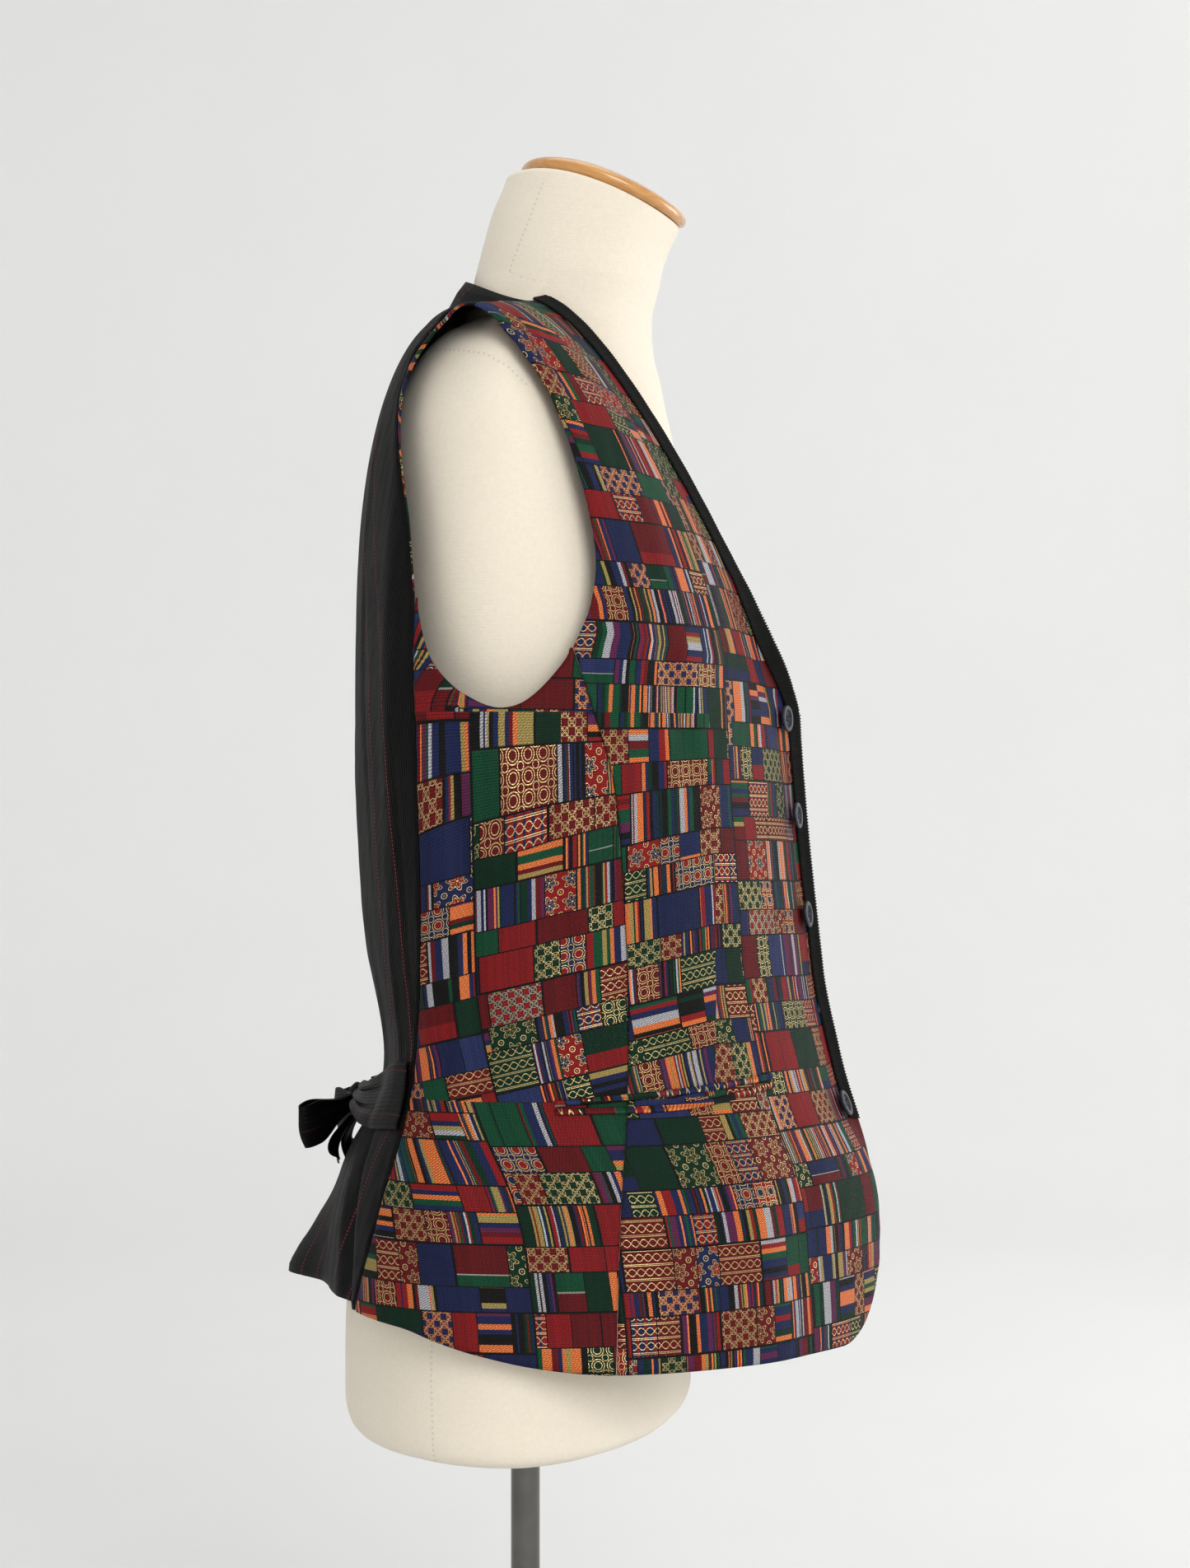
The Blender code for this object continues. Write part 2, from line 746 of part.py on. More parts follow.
def collar_lift(angle, rise):
    """Movement up and forward of the back neck, which stands against the neck."""
    aside = abs(body_section(ARMHOLE_LEVEL, angle)[0])
    if angle < COLLAR_LEAST_ANGLE or aside >= NECK_RADIUS:
        return Vector((0.0, 0.0, 0.0))
    edge = neck_rise(angle)
    share = smoothstep(edge - COLLAR_BEND, edge, rise)
    amount = share * share * (1.0 - (aside / NECK_RADIUS) ** 2)
    return Vector((0.0, COLLAR_LEAN * amount, COLLAR_HEIGHT * amount))


def tuck(aside, height):
    """Backward movement of the left front, which lies flat under the right front."""
    near = TUCK_DEPTH * smoothstep(TUCK_GONE_ASIDE, TUCK_FULL_ASIDE, aside)
    stand = edge_stand(height)
    flat = stand * math.exp(-edge_distance(aside, height) / EDGE_REACH)
    flat *= smoothstep(UNDERLAP_GONE_HEIGHT, UNDERLAP_FULL_HEIGHT, height)
    rise = UNDERLAP_RISE * stand / EDGE_STAND * math.exp(-(aside / UNDERLAP_REACH) ** 2)
    return flat + (near - rise) * smoothstep(TUCK_GONE_HEIGHT, TUCK_FULL_HEIGHT, height)


def place(point, side):
    """World position of a point, side 1 for the wearer's right and -1 for the left."""
    return Vector((-side * point.x, -point.y, point.z)) * MM


def new_object(name, mesh, material):
    """Object of a mesh, in the collection, with its material."""
    made = bpy.data.objects.new(name, mesh)
    bpy.data.collections[COLLECTION].objects.link(made)
    mesh.materials.append(bpy.data.materials[material])
    return made


def grid_mesh(name, rows, side):
    """Open sheet through rows of points, faces outward."""
    mesh = bpy.data.meshes.new(name)
    shape = bmesh.new()
    verts = [[shape.verts.new(place(point, side)) for point in row] for row in rows]
    for below, above in zip(verts, verts[1:]):
        for index in range(len(below) - 1):
            corners = [below[index], below[index + 1], above[index + 1], above[index]]
            if side > 0:
                corners.reverse()
            shape.faces.new(corners)
    shape.to_mesh(mesh)
    shape.free()
    return mesh


def solidify(made, thickness):
    """Wall of a sheet, grown outward."""
    wall = made.modifiers.new("wall", "SOLIDIFY")
    wall.thickness = thickness * MM
    wall.offset = 1.0
    wall.use_even_offset = False


def panel(name, grid, side, material, thickness, offset=0.0, shift=None):
    """Cloth piece from a grid of angles and rises."""
    rows = []
    for row in grid:
        points = []
        for angle, rise in row:
            point = cloth_point(angle, rise, offset)
            if shift:
                point = shift(point, angle, rise)
            points.append(point)
        rows.append(points)
    made = new_object(name, grid_mesh(name, rows, side), material)
    made.data.shade_smooth()
    solidify(made, thickness)
    return made


def tucked(point, angle, rise):
    """Left front's point, tucked under the lap."""
    base = base_point(angle, rise)
    return point - Vector((0.0, tuck(base.x, base.z), 0.0))


def collared(point, angle, rise):
    """Back's point with the standing collar."""
    return point + collar_lift(angle, rise)


def make_fronts():
    """Fronts and the trim along their edges."""
    grid = front_grid()
    panel("front_right", grid, 1, "brocade", CLOTH)
    panel("front_left", grid, -1, "brocade", CLOTH, shift=tucked)
    strip = [row[:TRIM_COLUMNS + 1] for row in grid]
    right = [row for row in strip if row[0][1] >= TRIM_END]
    left = [row for row in strip if row[0][1] >= LEFT_TRIM_START]
    on_top = CLOTH + OVERLAY_GAP
    panel("trim_right", right, 1, "braid", TRIM_THICK, on_top)
    panel("trim_left", left, -1, "braid", TRIM_THICK, on_top, tucked)


def make_sides():
    """Side panels under the arms."""
    grid = side_grid()
    panel("side_right", grid, 1, "brocade", CLOTH)
    panel("side_left", grid, -1, "brocade", CLOTH)


def make_backs():
    """Back halves, joined at the centre back, and their armhole facings."""
    grid = back_grid()
    panel("back_right", grid, 1, "satin", CLOTH, shift=collared)
    panel("back_left", grid, -1, "satin", CLOTH, shift=collared)
    outer = arm_edge(BACK_ROWS, back_seam_angle, ARM_BACK, SHOULDER_ARM_BACK, TOP_RISE)
    strip = []
    for angle, rise in outer:
        width = facing_width(base_point(angle, rise).z)
        if width and rise < TOP_RISE - FACING_TOP_DROP:
            near = nudge(angle, rise, GAP / 2.0)
            far = nudge(angle, rise, width - GAP / 2.0)
            strip.append([(near, rise), (far, rise)])
    panel("armhole_facing_right", strip, 1, "brocade", FACING_THICK)
    panel("armhole_facing_left", strip, -1, "brocade", FACING_THICK)


def make_pockets():
    """Two welts of a jetted pocket on each side."""
    first = angle_of_forward(POCKET_FRONT, POCKET_LEVEL, 5.0, 90.0)
    last = angle_of_forward(POCKET_BACK, POCKET_LEVEL, 30.0, 110.0)
    for name, side in (("right", 1), ("left", -1)):
        for welt, sign in (("upper", 1.0), ("lower", -1.0)):
            rows = []
            for edge in (-0.5, 0.5):
                row = []
                for index in range(WELT_COLUMNS + 1):
                    share = index / WELT_COLUMNS
                    gape = POCKET_GAPE * math.sin(math.pi * share) ** 1.5 if sign < 0 else 0.0
                    middle = POCKET_LEVEL + sign * (WELT_WIDTH / 2.0 + 0.4) - gape
                    row.append((blend(first, last, share), middle + edge * WELT_WIDTH))
                rows.append(row)
            node = "pocket_welt_" + welt + "_" + name
            panel(node, rows, side, "brocade", WELT_THICK, CLOTH + OVERLAY_GAP)


def turned(name, profile, steps, material):
    """Solid of revolution from a profile that runs down its outer side."""
    mesh = bpy.data.meshes.new(name)
    points = [(radius * MM, 0.0, height * MM) for radius, height in profile]
    edges = [(index, index + 1) for index in range(len(points) - 1)]
    mesh.from_pydata(points, edges, [])
    made = new_object(name, mesh, material)
    screw = made.modifiers.new("turn", "SCREW")
    screw.steps = steps
    screw.render_steps = steps
    screw.use_merge_vertices = True
    screw.merge_threshold = 0.00001
    screw.use_smooth_shade = True
    return made


def stand_on(made, centre, direction):
    """Places an object with its own Z along a direction."""
    made.rotation_euler = direction.to_track_quat("Z", "Y").to_euler()
    made.location = centre


def make_buttons():
    """Round buttons with a raised rim, leaning on the standing front edge."""
    rim = BUTTON_THICK
    profile = (
        (0.0, rim - 1.0),
        (BUTTON_RADIUS - 2.4, rim - 1.0),
        (BUTTON_RADIUS - 1.6, rim),
        (BUTTON_RADIUS - 0.5, rim - 0.2),
        (BUTTON_RADIUS, rim * 0.5),
        (BUTTON_RADIUS - 1.4, 0.0),
        (0.0, 0.0),
    )
    for name, height in BUTTON_HEIGHTS.items():
        angle = angle_of_aside(edge_aside(height) + BUTTON_INSET, height)
        made = turned("button_" + name, profile, 20, "button")
        centre = cloth_point(angle, height, CLOTH + OVERLAY_GAP + TRIM_THICK + GAP)
        normal = surface_normal(angle, height)
        axis = Matrix.Rotation(math.radians(-BUTTON_TILT), 3, "Z") @ Vector((-normal.x, -normal.y, normal.z))
        stand_on(made, place(centre, 1), axis)


def belt_half(share):
    """Half the belt's width, from the seam at 0 to the knot at 1."""
    return blend(BELT_HALF_WIDTH, BELT_KNOT_HALF_WIDTH, smoothstep(0.15, 1.0, share))


def belt_lift(share):
    """Distance of the belt's inner face from the cloth's inner face."""
    return CLOTH + BELT_CLEAR + BELT_LIFT * smoothstep(0.3, 1.0, share)


def belt_end_angle():
    """Angle at which the belt reaches the knot."""
    start = 150.0
    end = 180.0
    for _ in range(30):
        middle = (start + end) / 2.0
        if cloth_point(middle, BELT_KNOT_LEVEL, belt_lift(1.0)).x > BELT_END_ASIDE:
            start = middle
        else:
            end = middle
    return start


def make_belts():
    """Belt halves from the back seams to the knot."""
    start = nudge(back_seam_angle(BELT_SEAM_LEVEL), BELT_SEAM_LEVEL, 1.0)
    end = belt_end_angle()
    for name, side in (("right", 1), ("left", -1)):
        rows = []
        for edge in (-1.0, -0.33, 0.33, 1.0):
            row = []
            for index in range(BELT_COLUMNS + 1):
                share = index / BELT_COLUMNS
                level = blend(BELT_SEAM_LEVEL, BELT_KNOT_LEVEL, smoothstep(0.0, 1.0, share))
                height = level + edge * belt_half(share)
                row.append(cloth_point(blend(start, end, share), height, belt_lift(share)))
            rows.append(row)
        made = new_object("belt_" + name, grid_mesh("belt_" + name, rows, side), "satin")
        made.data.shade_smooth()
        solidify(made, BELT_THICK)


def blob(name, centre, radii, turn, material, pinch=0.0):
    """Rounded solid from a sphere, stretched, pinched at one end and turned."""
    mesh = bpy.data.meshes.new(name)
    shape = bmesh.new()
    bmesh.ops.create_uvsphere(shape, u_segments=14, v_segments=9, radius=1.0)
    for vert in shape.verts:
        narrow = 1.0 - pinch * (1.0 - vert.co.x) / 2.0
        ahead, across, above = vert.co
        vert.co = (
            ahead * radii[0] * MM,
            across * radii[1] * narrow * MM,
            above * radii[2] * narrow * MM,
        )
    shape.to_mesh(mesh)
    shape.free()
    mesh.shade_smooth()
    made = new_object(name, mesh, material)
    made.matrix_world = Matrix.Translation(centre) @ turn
    return made


def make_bow():
    """Knot, two loops and two tails at the centre back."""
    centre = place(Vector((0.0, -BOW_BACK, BOW_LEVEL)), 1)
    knot = (KNOT_HALF_WIDTH, KNOT_HALF_DEPTH, KNOT_HALF_HEIGHT)
    blob("bow_knot", centre, knot, Matrix.Identity(4), "satin")
    for name, side in (("right", 1), ("left", -1)):
        sweep = math.radians(LOOP_SWEEP)
        tilt = math.radians(LOOP_TILT)
        aside = -side * math.cos(sweep) * math.cos(tilt)
        ahead = Vector((aside, math.sin(sweep), -math.sin(tilt) * LOOP_DROOP)).normalized()
        reach = (KNOT_HALF_WIDTH - LOOP_SINK + LOOP_RADII[0]) * MM
        middle = centre + ahead * reach
        turn = ahead.to_track_quat("X", "Z").to_matrix().to_4x4()
        blob("bow_loop_" + name, middle, LOOP_RADII, turn, "satin", LOOP_PINCH)
        make_tail(name, side)


def make_tail(name, side):
    """Tail of the bow, which hangs from under the knot to a slanted tip."""
    rows = []
    for level in range(TAIL_ROWS + 1):
        share = level / TAIL_ROWS
        row = []
        for across in (1.0, 0.35, -0.35, -1.0):
            half = TAIL_WIDTH / 2.0 * blend(TAIL_ROOT_SHARE, 1.0, smoothstep(0.0, 0.5, share))
            slant = TAIL_SLANT * share * (across + 1.0) / 2.0
            drop = (TAIL_LENGTH - slant) * share
            aside = TAIL_START_ASIDE + TAIL_SPREAD * share + across * half
            bulge = TAIL_BULGE * math.sin(share * TAIL_BULGE_TURN) - TAIL_CUP * math.cos(across * TAIL_CUP_TURN)
            height = BOW_LEVEL - TAIL_START_DROP - drop * TAIL_HANG
            row.append(Vector((aside, -BOW_BACK - TAIL_START_BACK - bulge, height)))
        rows.append(row)
    rows.reverse()
    made = new_object("bow_tail_" + name, grid_mesh("bow_tail_" + name, rows, side), "satin")
    made.data.shade_smooth()
    solidify(made, BELT_THICK)


def form_ring(row, segments):
    """Ring of the torso: body outline, with the neck's outline blended in."""
    size = named(FORM_COLUMNS, row)
    outlines = (
        (size["front"], size["back"], size["half_width"]),
        (size["neck_front"], size["neck_back"], size["neck_half"]),
    )
    points = []
    for index in range(segments):
        turn = 2.0 * math.pi * index / segments
        ahead = math.cos(turn)
        aside = math.sin(turn)
        radii = []
        for reach, rear, half in outlines:
            depth = reach - FORM_CENTRE if ahead > 0 else rear + FORM_CENTRE
            radii.append(1.0 / math.hypot(aside / half, ahead / max(depth, 1.0)))
        radius = (radii[0] ** NECK_BLEND + radii[1] ** NECK_BLEND) ** (1.0 / NECK_BLEND)
        points.append(Vector((aside * radius, FORM_CENTRE + ahead * radius, size["height"])))
    return points


def neck_ring(row, segments):
    """Ring of the leaning neck."""
    size = named(NECK_COLUMNS, row)
    lean = math.radians(size["tilt"])
    points = []
    for index in range(segments):
        turn = 2.0 * math.pi * index / segments
        ahead = math.cos(turn) * size["half_depth"]
        points.append(Vector((
            math.sin(turn) * size["half_width"],
            size["centre_forward"] + ahead * math.cos(lean),
            size["centre_height"] - ahead * math.sin(lean),
        )))
    return points


def make_torso():
    """Torso and neck of the form, a loft through unlike rings."""
    rows = []
    for row in FORM_SECTIONS:
        rows.append(form_ring(row, FORM_SEGMENTS))
    for row in NECK_RINGS:
        rows.append(neck_ring(row, FORM_SEGMENTS))
    mesh = bpy.data.meshes.new("form_torso")
    shape = bmesh.new()
    rings = [[shape.verts.new(place(point, -1)) for point in row] for row in rows]
    for below, above in zip(rings, rings[1:]):
        for index in range(FORM_SEGMENTS):
            following = (index + 1) % FORM_SEGMENTS
            shape.faces.new((below[index], below[following], above[following], above[index]))
    shape.faces.new(list(reversed(rings[0])))
    shape.faces.new(rings[-1])
    bmesh.ops.recalc_face_normals(shape, faces=shape.faces)
    shape.to_mesh(mesh)
    shape.free()
    new_object("form_torso", mesh, "jersey")
    mesh.shade_smooth()


def make_stand():
    """Neck cap, pole and base."""
    profile = [(0.0, CAP_THICK), (CAP_RADIUS * 0.5, CAP_THICK - 0.5)]
    steps = 8
    half = CAP_RIM / 2.0
    for index in range(steps + 1):
        turn = math.radians(90.0 - 180.0 * index / steps)
        profile.append((CAP_RADIUS - half + half * math.cos(turn), half + half * math.sin(turn)))
    profile.append((0.0, 0.0))
    cap = turned("form_neck_cap", profile, 36, "wood")
    lean = math.radians(CAP_TILT)
    up = Vector((0.0, -math.sin(lean), math.cos(lean)))
    ahead = Vector((0.0, -math.cos(lean), -math.sin(lean)))
    forward, height = NECK_RINGS[-1][:2]
    seat = place(Vector((0.0, forward, height)), 1) + (up * GAP + ahead * CAP_FORWARD) * MM
    stand_on(cap, seat, up)
    pole = (
        (0.0, TORSO_BOTTOM - GAP),
        (POLE_RADIUS, TORSO_BOTTOM - GAP),
        (POLE_RADIUS, BASE_THICK + GAP),
        (0.0, BASE_THICK + GAP),
    )
    turned("form_pole", pole, 24, "chrome")
    base = (
        (0.0, BASE_THICK),
        (14.0, BASE_THICK),
        (BASE_RADIUS - 12.0, BASE_RISE),
        (BASE_RADIUS - 2.0, BASE_EDGE),
        (BASE_RADIUS, BASE_EDGE - 2.0),
        (BASE_RADIUS, 0.0),
        (0.0, 0.0),
    )
    turned("form_base", base, 48, "chrome")


def make_materials():
    """One Principled material for each kind of surface."""
    for name, (colour, roughness, metallic) in MATERIALS.items():
        made = bpy.data.materials.new(name)
        made.use_nodes = True
        shader = made.node_tree.nodes["Principled BSDF"]
        shader.inputs["Base Color"].default_value = (*colour, 1.0)
        shader.inputs["Roughness"].default_value = roughness
        shader.inputs["Metallic"].default_value = metallic


def main():
    """Builds every piece."""
    for old in list(bpy.data.objects):
        bpy.data.objects.remove(old, do_unlink=True)
    collection = bpy.data.collections.new(COLLECTION)
    bpy.context.scene.collection.children.link(collection)
    make_materials()
    make_torso()
    make_stand()
    make_fronts()
    make_sides()
    make_backs()
    make_pockets()
    make_buttons()
    make_belts()
    make_bow()


main()
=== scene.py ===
"""Looks of the gilet on its dress form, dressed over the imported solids.

Lengths in the tables are millimetres, as in the part's source, and the cloth
follows the same sections. Z is up, the front faces -Y and the wearer's right
is -X. Shader sizes are metres.
"""
import math

import bmesh
import bpy
import numpy as np
from mathutils import Matrix, Vector


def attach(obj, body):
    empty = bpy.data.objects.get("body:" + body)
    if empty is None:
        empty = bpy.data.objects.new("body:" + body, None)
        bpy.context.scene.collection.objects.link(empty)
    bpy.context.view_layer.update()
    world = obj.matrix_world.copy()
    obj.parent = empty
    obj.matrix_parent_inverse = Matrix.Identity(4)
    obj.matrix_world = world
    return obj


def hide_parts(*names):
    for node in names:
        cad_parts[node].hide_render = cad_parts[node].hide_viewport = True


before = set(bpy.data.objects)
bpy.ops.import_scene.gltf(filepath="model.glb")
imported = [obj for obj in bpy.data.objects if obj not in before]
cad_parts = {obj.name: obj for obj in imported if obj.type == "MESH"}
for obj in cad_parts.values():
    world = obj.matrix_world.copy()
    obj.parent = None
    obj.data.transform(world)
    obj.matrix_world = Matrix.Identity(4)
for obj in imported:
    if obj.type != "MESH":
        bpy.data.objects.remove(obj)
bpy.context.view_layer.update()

MM = 0.001

# Cloth, as in the solids
CLOTH = 2.0
SHEET_THICK = 1.1
GAP = 0.3
OVERLAY_GAP = 0.4
ARMHOLE_LEVEL = 645.0
ARCH_SPAN = 210.0
TOP_RISE = ARMHOLE_LEVEL + ARCH_SPAN
FRONT_TOP = TOP_RISE - 2.6
HEM_LEAST = 290.0
SHOULDER_ARM_FRONT = 76.0
SHOULDER_ARM_BACK = 104.0
SHOULDER_AT_CENTRE = 876.5
SHOULDER_DROP = 0.155
RIDGE_AT_CENTRE = 25.3
RIDGE_SLOPE = 0.153
BACK_ARCH = 3.14
FRONT_ARCH = 1.02
FRONT_ARCH_SLOPE = 0.0052
BUST_ROUNDING = 0.17
BUST_REACH = 14.0
PROW_DEPTH = 14.0
PROW_LENGTH = 45.0
PROW_ROUNDING = 16.0
PROW_FULL_ANGLE = 15.0
PROW_GONE_ANGLE = 95.0
EDGE_STAND = 16.0
EDGE_REACH = 8.0
EDGE_SINK = 0.9
EDGE_MARGIN = 3.0
EDGE_LEVELS = (380.0, 430.0, 650.0, 720.0)
NECK_STAND = 5.5
NECK_STAND_REACH = 7.0
LEFT_NECK_SINK = 5.0
LEFT_NECK_REACH = 25.0
LEFT_NECK_LEVELS = (860.0, 800.0)
UNDERLAP_RISE = 3.0
UNDERLAP_REACH = 22.0
UNDERLAP_LEVELS = (672.0, 645.0)
FLARE_WIDTH = 38.0
LAP = 12.0
CORNER_HEIGHT = 108.0
CORNER_END = 54.0
HEM_FRONT = 303.0
TUCK_DEPTH = 3.5
TUCK_ASIDE = (62.0, 22.0)
TUCK_LEVELS = (720.0, 664.0)
NECK_CENTRE = 21.0
NECK_RADIUS = 61.0
COLLAR_HEIGHT = 26.0
COLLAR_LEAN = 8.0
COLLAR_BEND = 30.0
COLLAR_LEAST_ANGLE = 120.0

# Fineness of the grids
SEAM_ROWS = 96
FRONT_UPPER_ROWS = 80
BACK_UPPER_ROWS = 72
FRONT_COLUMNS = 96
SIDE_COLUMNS = 46
BACK_COLUMNS = 84
NECK_SHARE = 0.43
END_CROWDING = 0.45
FLAT_ANGLES = (-12.0, 192.1, 1.5)
FLAT_RISE_STEP = 5.0

# Trim, pocket, buttons, belt and bow
TRIM_WIDTH = 11.5
TRIM_THICK = 1.2
TRIM_END = 419.0
TRIM_RIB = 1.7
TRIM_RIB_DEPTH = 0.22
TRIM_STEPS = 4
TRIM_ACROSS = (0.0, 0.10, 0.30, 0.50, 0.70, 0.88, 0.97, 1.0)
TRIM_OVERHANG = 0.10
TRIM_ROUNDING = (-2.2, -0.7, 0.0, 0.05, 0.05, 0.05, 0.0, -0.3, -1.0)
TRIM_WALL = 0.7
FACING_ROUNDING = (-0.7, -0.1, 0.0, -0.1, -0.7)
FACING_LIFT = 1.3
FACING_WALL = 0.6
LEFT_TRIM_START = 674.0
WELT_THICK = 1.4
WELT_WIDTH = 3.6
WELT_EDGES = (-0.5, -0.42, -0.2, 0.0, 0.2, 0.42, 0.5)
WELT_ROUNDING = (-1.0, -0.25, 0.1, 0.15, 0.1, -0.25, -1.0)
WELT_WALL = 0.9
POCKET_LEVEL = 442.5
POCKET_GAPE = 3.2
POCKET_BACK = 40.0
POCKET_FRONT = 146.0
POCKET_RISE_FRONT = 5.0
POCKET_DROP_BACK = 3.0
BUTTON_RADIUS = 7.4
BUTTON_THICK = 2.6
BUTTON_INSET = 15.5
BUTTON_TILT = 1.0
BUTTON_LIFT = 0.7
BUTTON_HEIGHTS = {"1": 642.0, "2": 588.0, "3": 533.0, "5": 427.0}
MISSING_BUTTON_HEIGHT = 480.0
HOLE_ASIDE = 1.25
HOLE_RADIUS = 0.62
HOLE_DEPTH = 6.0
STUB_SINK = 2.0
BELT_THICK = 1.4
BELT_WALL = 1.0
LOOP_WALL = 0.8
TAIL_WALL = 0.9
BELT_HALF_WIDTH = 18.0
BELT_KNOT_HALF_WIDTH = 6.5
BELT_SEAM_LEVEL = 443.0
BELT_KNOT_LEVEL = 426.0
BELT_LIFT = 9.0
BELT_CLEAR = 1.2
BELT_END_ASIDE = 10.2
BOW_BACK = 94.4
BOW_LEVEL = 428.0
KNOT_RADII = (11.0, 8.5, 9.0)
LOOP_LENGTH = 46.0
LOOP_THICK = 4.2
LOOP_HALF_WIDTH = 12.0
LOOP_TILT = 24.0
LOOP_SWEEP = 24.0
LOOP_DROOP = 0.55
TAIL_LENGTH = 30.0
TAIL_WIDTH = 22.0
TAIL_START_ASIDE = 5.2
TAIL_SPREAD = 16.0
TAIL_SLANT = 9.0

# Dress form and stand
TORSO_BOTTOM = 253.0
POLE_RADIUS = 8.2
BASE_RADIUS = 150.0
BASE_THICK = 14.0
BASE_RISE = 7.0
BASE_EDGE = 5.0
CAP_RADIUS = 48.5
CAP_TILT = 17.6
CAP_FORWARD = 5.0
CAP_RIM = 7.5
CAP_THICK = 12.5
NECK_TOP_RISE = 2.5
NECK_TOP_BEND = (8.5, 5.5)
NECK_TOP_REACH = 24.0
FORM_CENTRE = 10.0
NECK_BLEND = 16

# Camera, in metres: level, turned from the side towards the front
CAMERA_DISTANCE = 1.75
CAMERA_TURN = 8.0
CAMERA_HEIGHT = 0.606
CAMERA_SHIFT = 0.0393
VIEW_HEIGHT = 0.8854
FILM_HEIGHT = 36.0

# Backdrop in millimetres, and the light of the studio
BACKDROP_LEVEL = -1.0
BACKDROP_FLAT = 2400.0
BACKDROP_BEND = 1500.0
BACKDROP_TOP = 5200.0
WORLD_COLOUR = (0.99, 0.99, 0.985, 1.0)
WORLD_STRENGTH = 0.52

# Lights: name, place, target and size in metres, and power
LIGHTS = (
    ("key", (-2.3, -1.4, 1.7), (0.0, -0.05, 0.50), 1.4, 38.0),
    ("fill", (-2.1, 1.7, 1.1), (0.0, 0.0, 0.50), 1.6, 4.0),
    ("top", (0.2, 0.1, 3.0), (0.0, 0.0, 0.50), 2.0, 20.0),
    ("rim", (1.0, -2.2, 1.0), (0.0, 0.0, 0.50), 1.2, 20.0),
    ("backdrop_right", (1.6, -0.9, 2.6), (3.8, -1.1, 1.3), 1.2, 22.0),
    ("backdrop_left", (1.2, 1.6, 2.4), (3.8, 1.4, 1.2), 1.6, 5.0),
)

BODY_COLUMNS = ("height", "front", "back", "half_width", "widest", "fullness", "flare")
BODY_SECTIONS = (
    (300.0, 198.5, 101.0, 181.0, 5.0, 2.40, 38.0),
    (332.0, 198.0, 100.0, 178.0, 5.0, 2.40, 34.0),
    (351.0, 197.5, 98.0, 175.0, 4.0, 2.40, 25.0),
    (374.0, 196.5, 95.0, 171.0, 3.0, 2.40, 14.0),
    (401.0, 192.0, 88.5, 166.0, 2.0, 2.35, 9.0),
    (420.0, 186.0, 80.5, 162.0, 1.0, 2.30, 5.0),
    (443.0, 178.5, 71.0, 158.0, 0.0, 2.25, 0.0),
    (466.0, 173.0, 69.5, 156.0, -1.0, 2.20, 0.0),
    (492.0, 167.5, 74.0, 156.0, -2.0, 2.15, 0.0),
    (515.0, 164.5, 79.0, 158.0, -3.0, 2.10, 0.0),
    (560.0, 159.5, 83.5, 163.0, -4.0, 2.05, 0.0),
    (607.0, 155.0, 86.5, 168.0, -5.0, 2.00, 0.0),
    (645.0, 152.0, 87.5, 170.0, -5.0, 2.00, 0.0),
)

V_COLUMNS = ("height", "aside")
V_NECK = (
    (600.0, -12.0),
    (630.0, -10.0),
    (648.0, -4.0),
    (662.0, 2.0),
    (684.0, 12.0),
    (711.0, 21.0),
    (741.0, 30.0),
    (789.0, 44.0),
    (818.0, 51.0),
    (844.0, 56.5),
    (866.5, 62.0),
)

HEM_COLUMNS = ("angle", "height")
HEM = (
    (0.0, HEM_FRONT),
    (40.0, 303.0),
    (68.0, 305.5),
    (82.0, 310.5),
    (96.0, 320.5),
    (110.0, 328.0),
    (150.0, 333.0),
    (180.0, 329.0),
)

FRONT_SEAM_COLUMNS = ("height", "forward")
FRONT_SEAM = (
    (300.0, 74.0),
    (377.0, 74.5),
    (451.0, 76.0),
    (535.0, 74.5),
    (606.0, 69.5),
    (650.0, 58.0),
    (676.0, 50.0),
)

BACK_SEAM_COLUMNS = ("height", "forward")
BACK_SEAM = (
    (300.0, -72.0),
    (332.0, -66.0),
    (381.0, -52.0),
    (414.0, -42.5),
    (449.0, -36.0),
    (492.0, -31.0),
    (530.0, -28.0),
    (618.0, -29.5),
    (670.0, -31.5),
    (702.0, -30.5),
)

ARM_FRONT_COLUMNS = ("height", "forward")
ARM_FRONT = (
    (676.0, 50.0),
    (695.0, 57.5),
    (717.0, 60.5),
    (738.0, 58.5),
    (763.0, 52.5),
    (789.0, 44.0),
    (812.0, 34.0),
    (828.0, 23.5),
    (841.0, 13.0),
)

ARM_UNDER_COLUMNS = ("forward", "height")
ARM_UNDER = (
    (-30.5, 702.0),
    (-23.0, 674.0),
    (-12.0, 658.5),
    (-1.0, 650.5),
    (12.0, 645.2),
    (24.0, 647.0),
    (34.0, 654.5),
    (44.0, 666.5),
    (50.0, 676.0),
)

ARM_BACK_COLUMNS = ("height", "forward")
ARM_BACK = (
    (702.0, -30.5),
    (738.0, -33.5),
    (763.0, -37.0),
    (785.0, -40.0),
    (806.0, -40.5),
    (822.0, -35.5),
    (835.0, -25.0),
    (845.0, -12.0),
)

FACING_COLUMNS = ("height", "width")
FACING = (
    (705.0, 1.0),
    (760.0, 1.4),
    (795.0, 3.0),
    (815.0, 7.0),
    (840.0, 6.0),
    (851.0, 4.0),
)

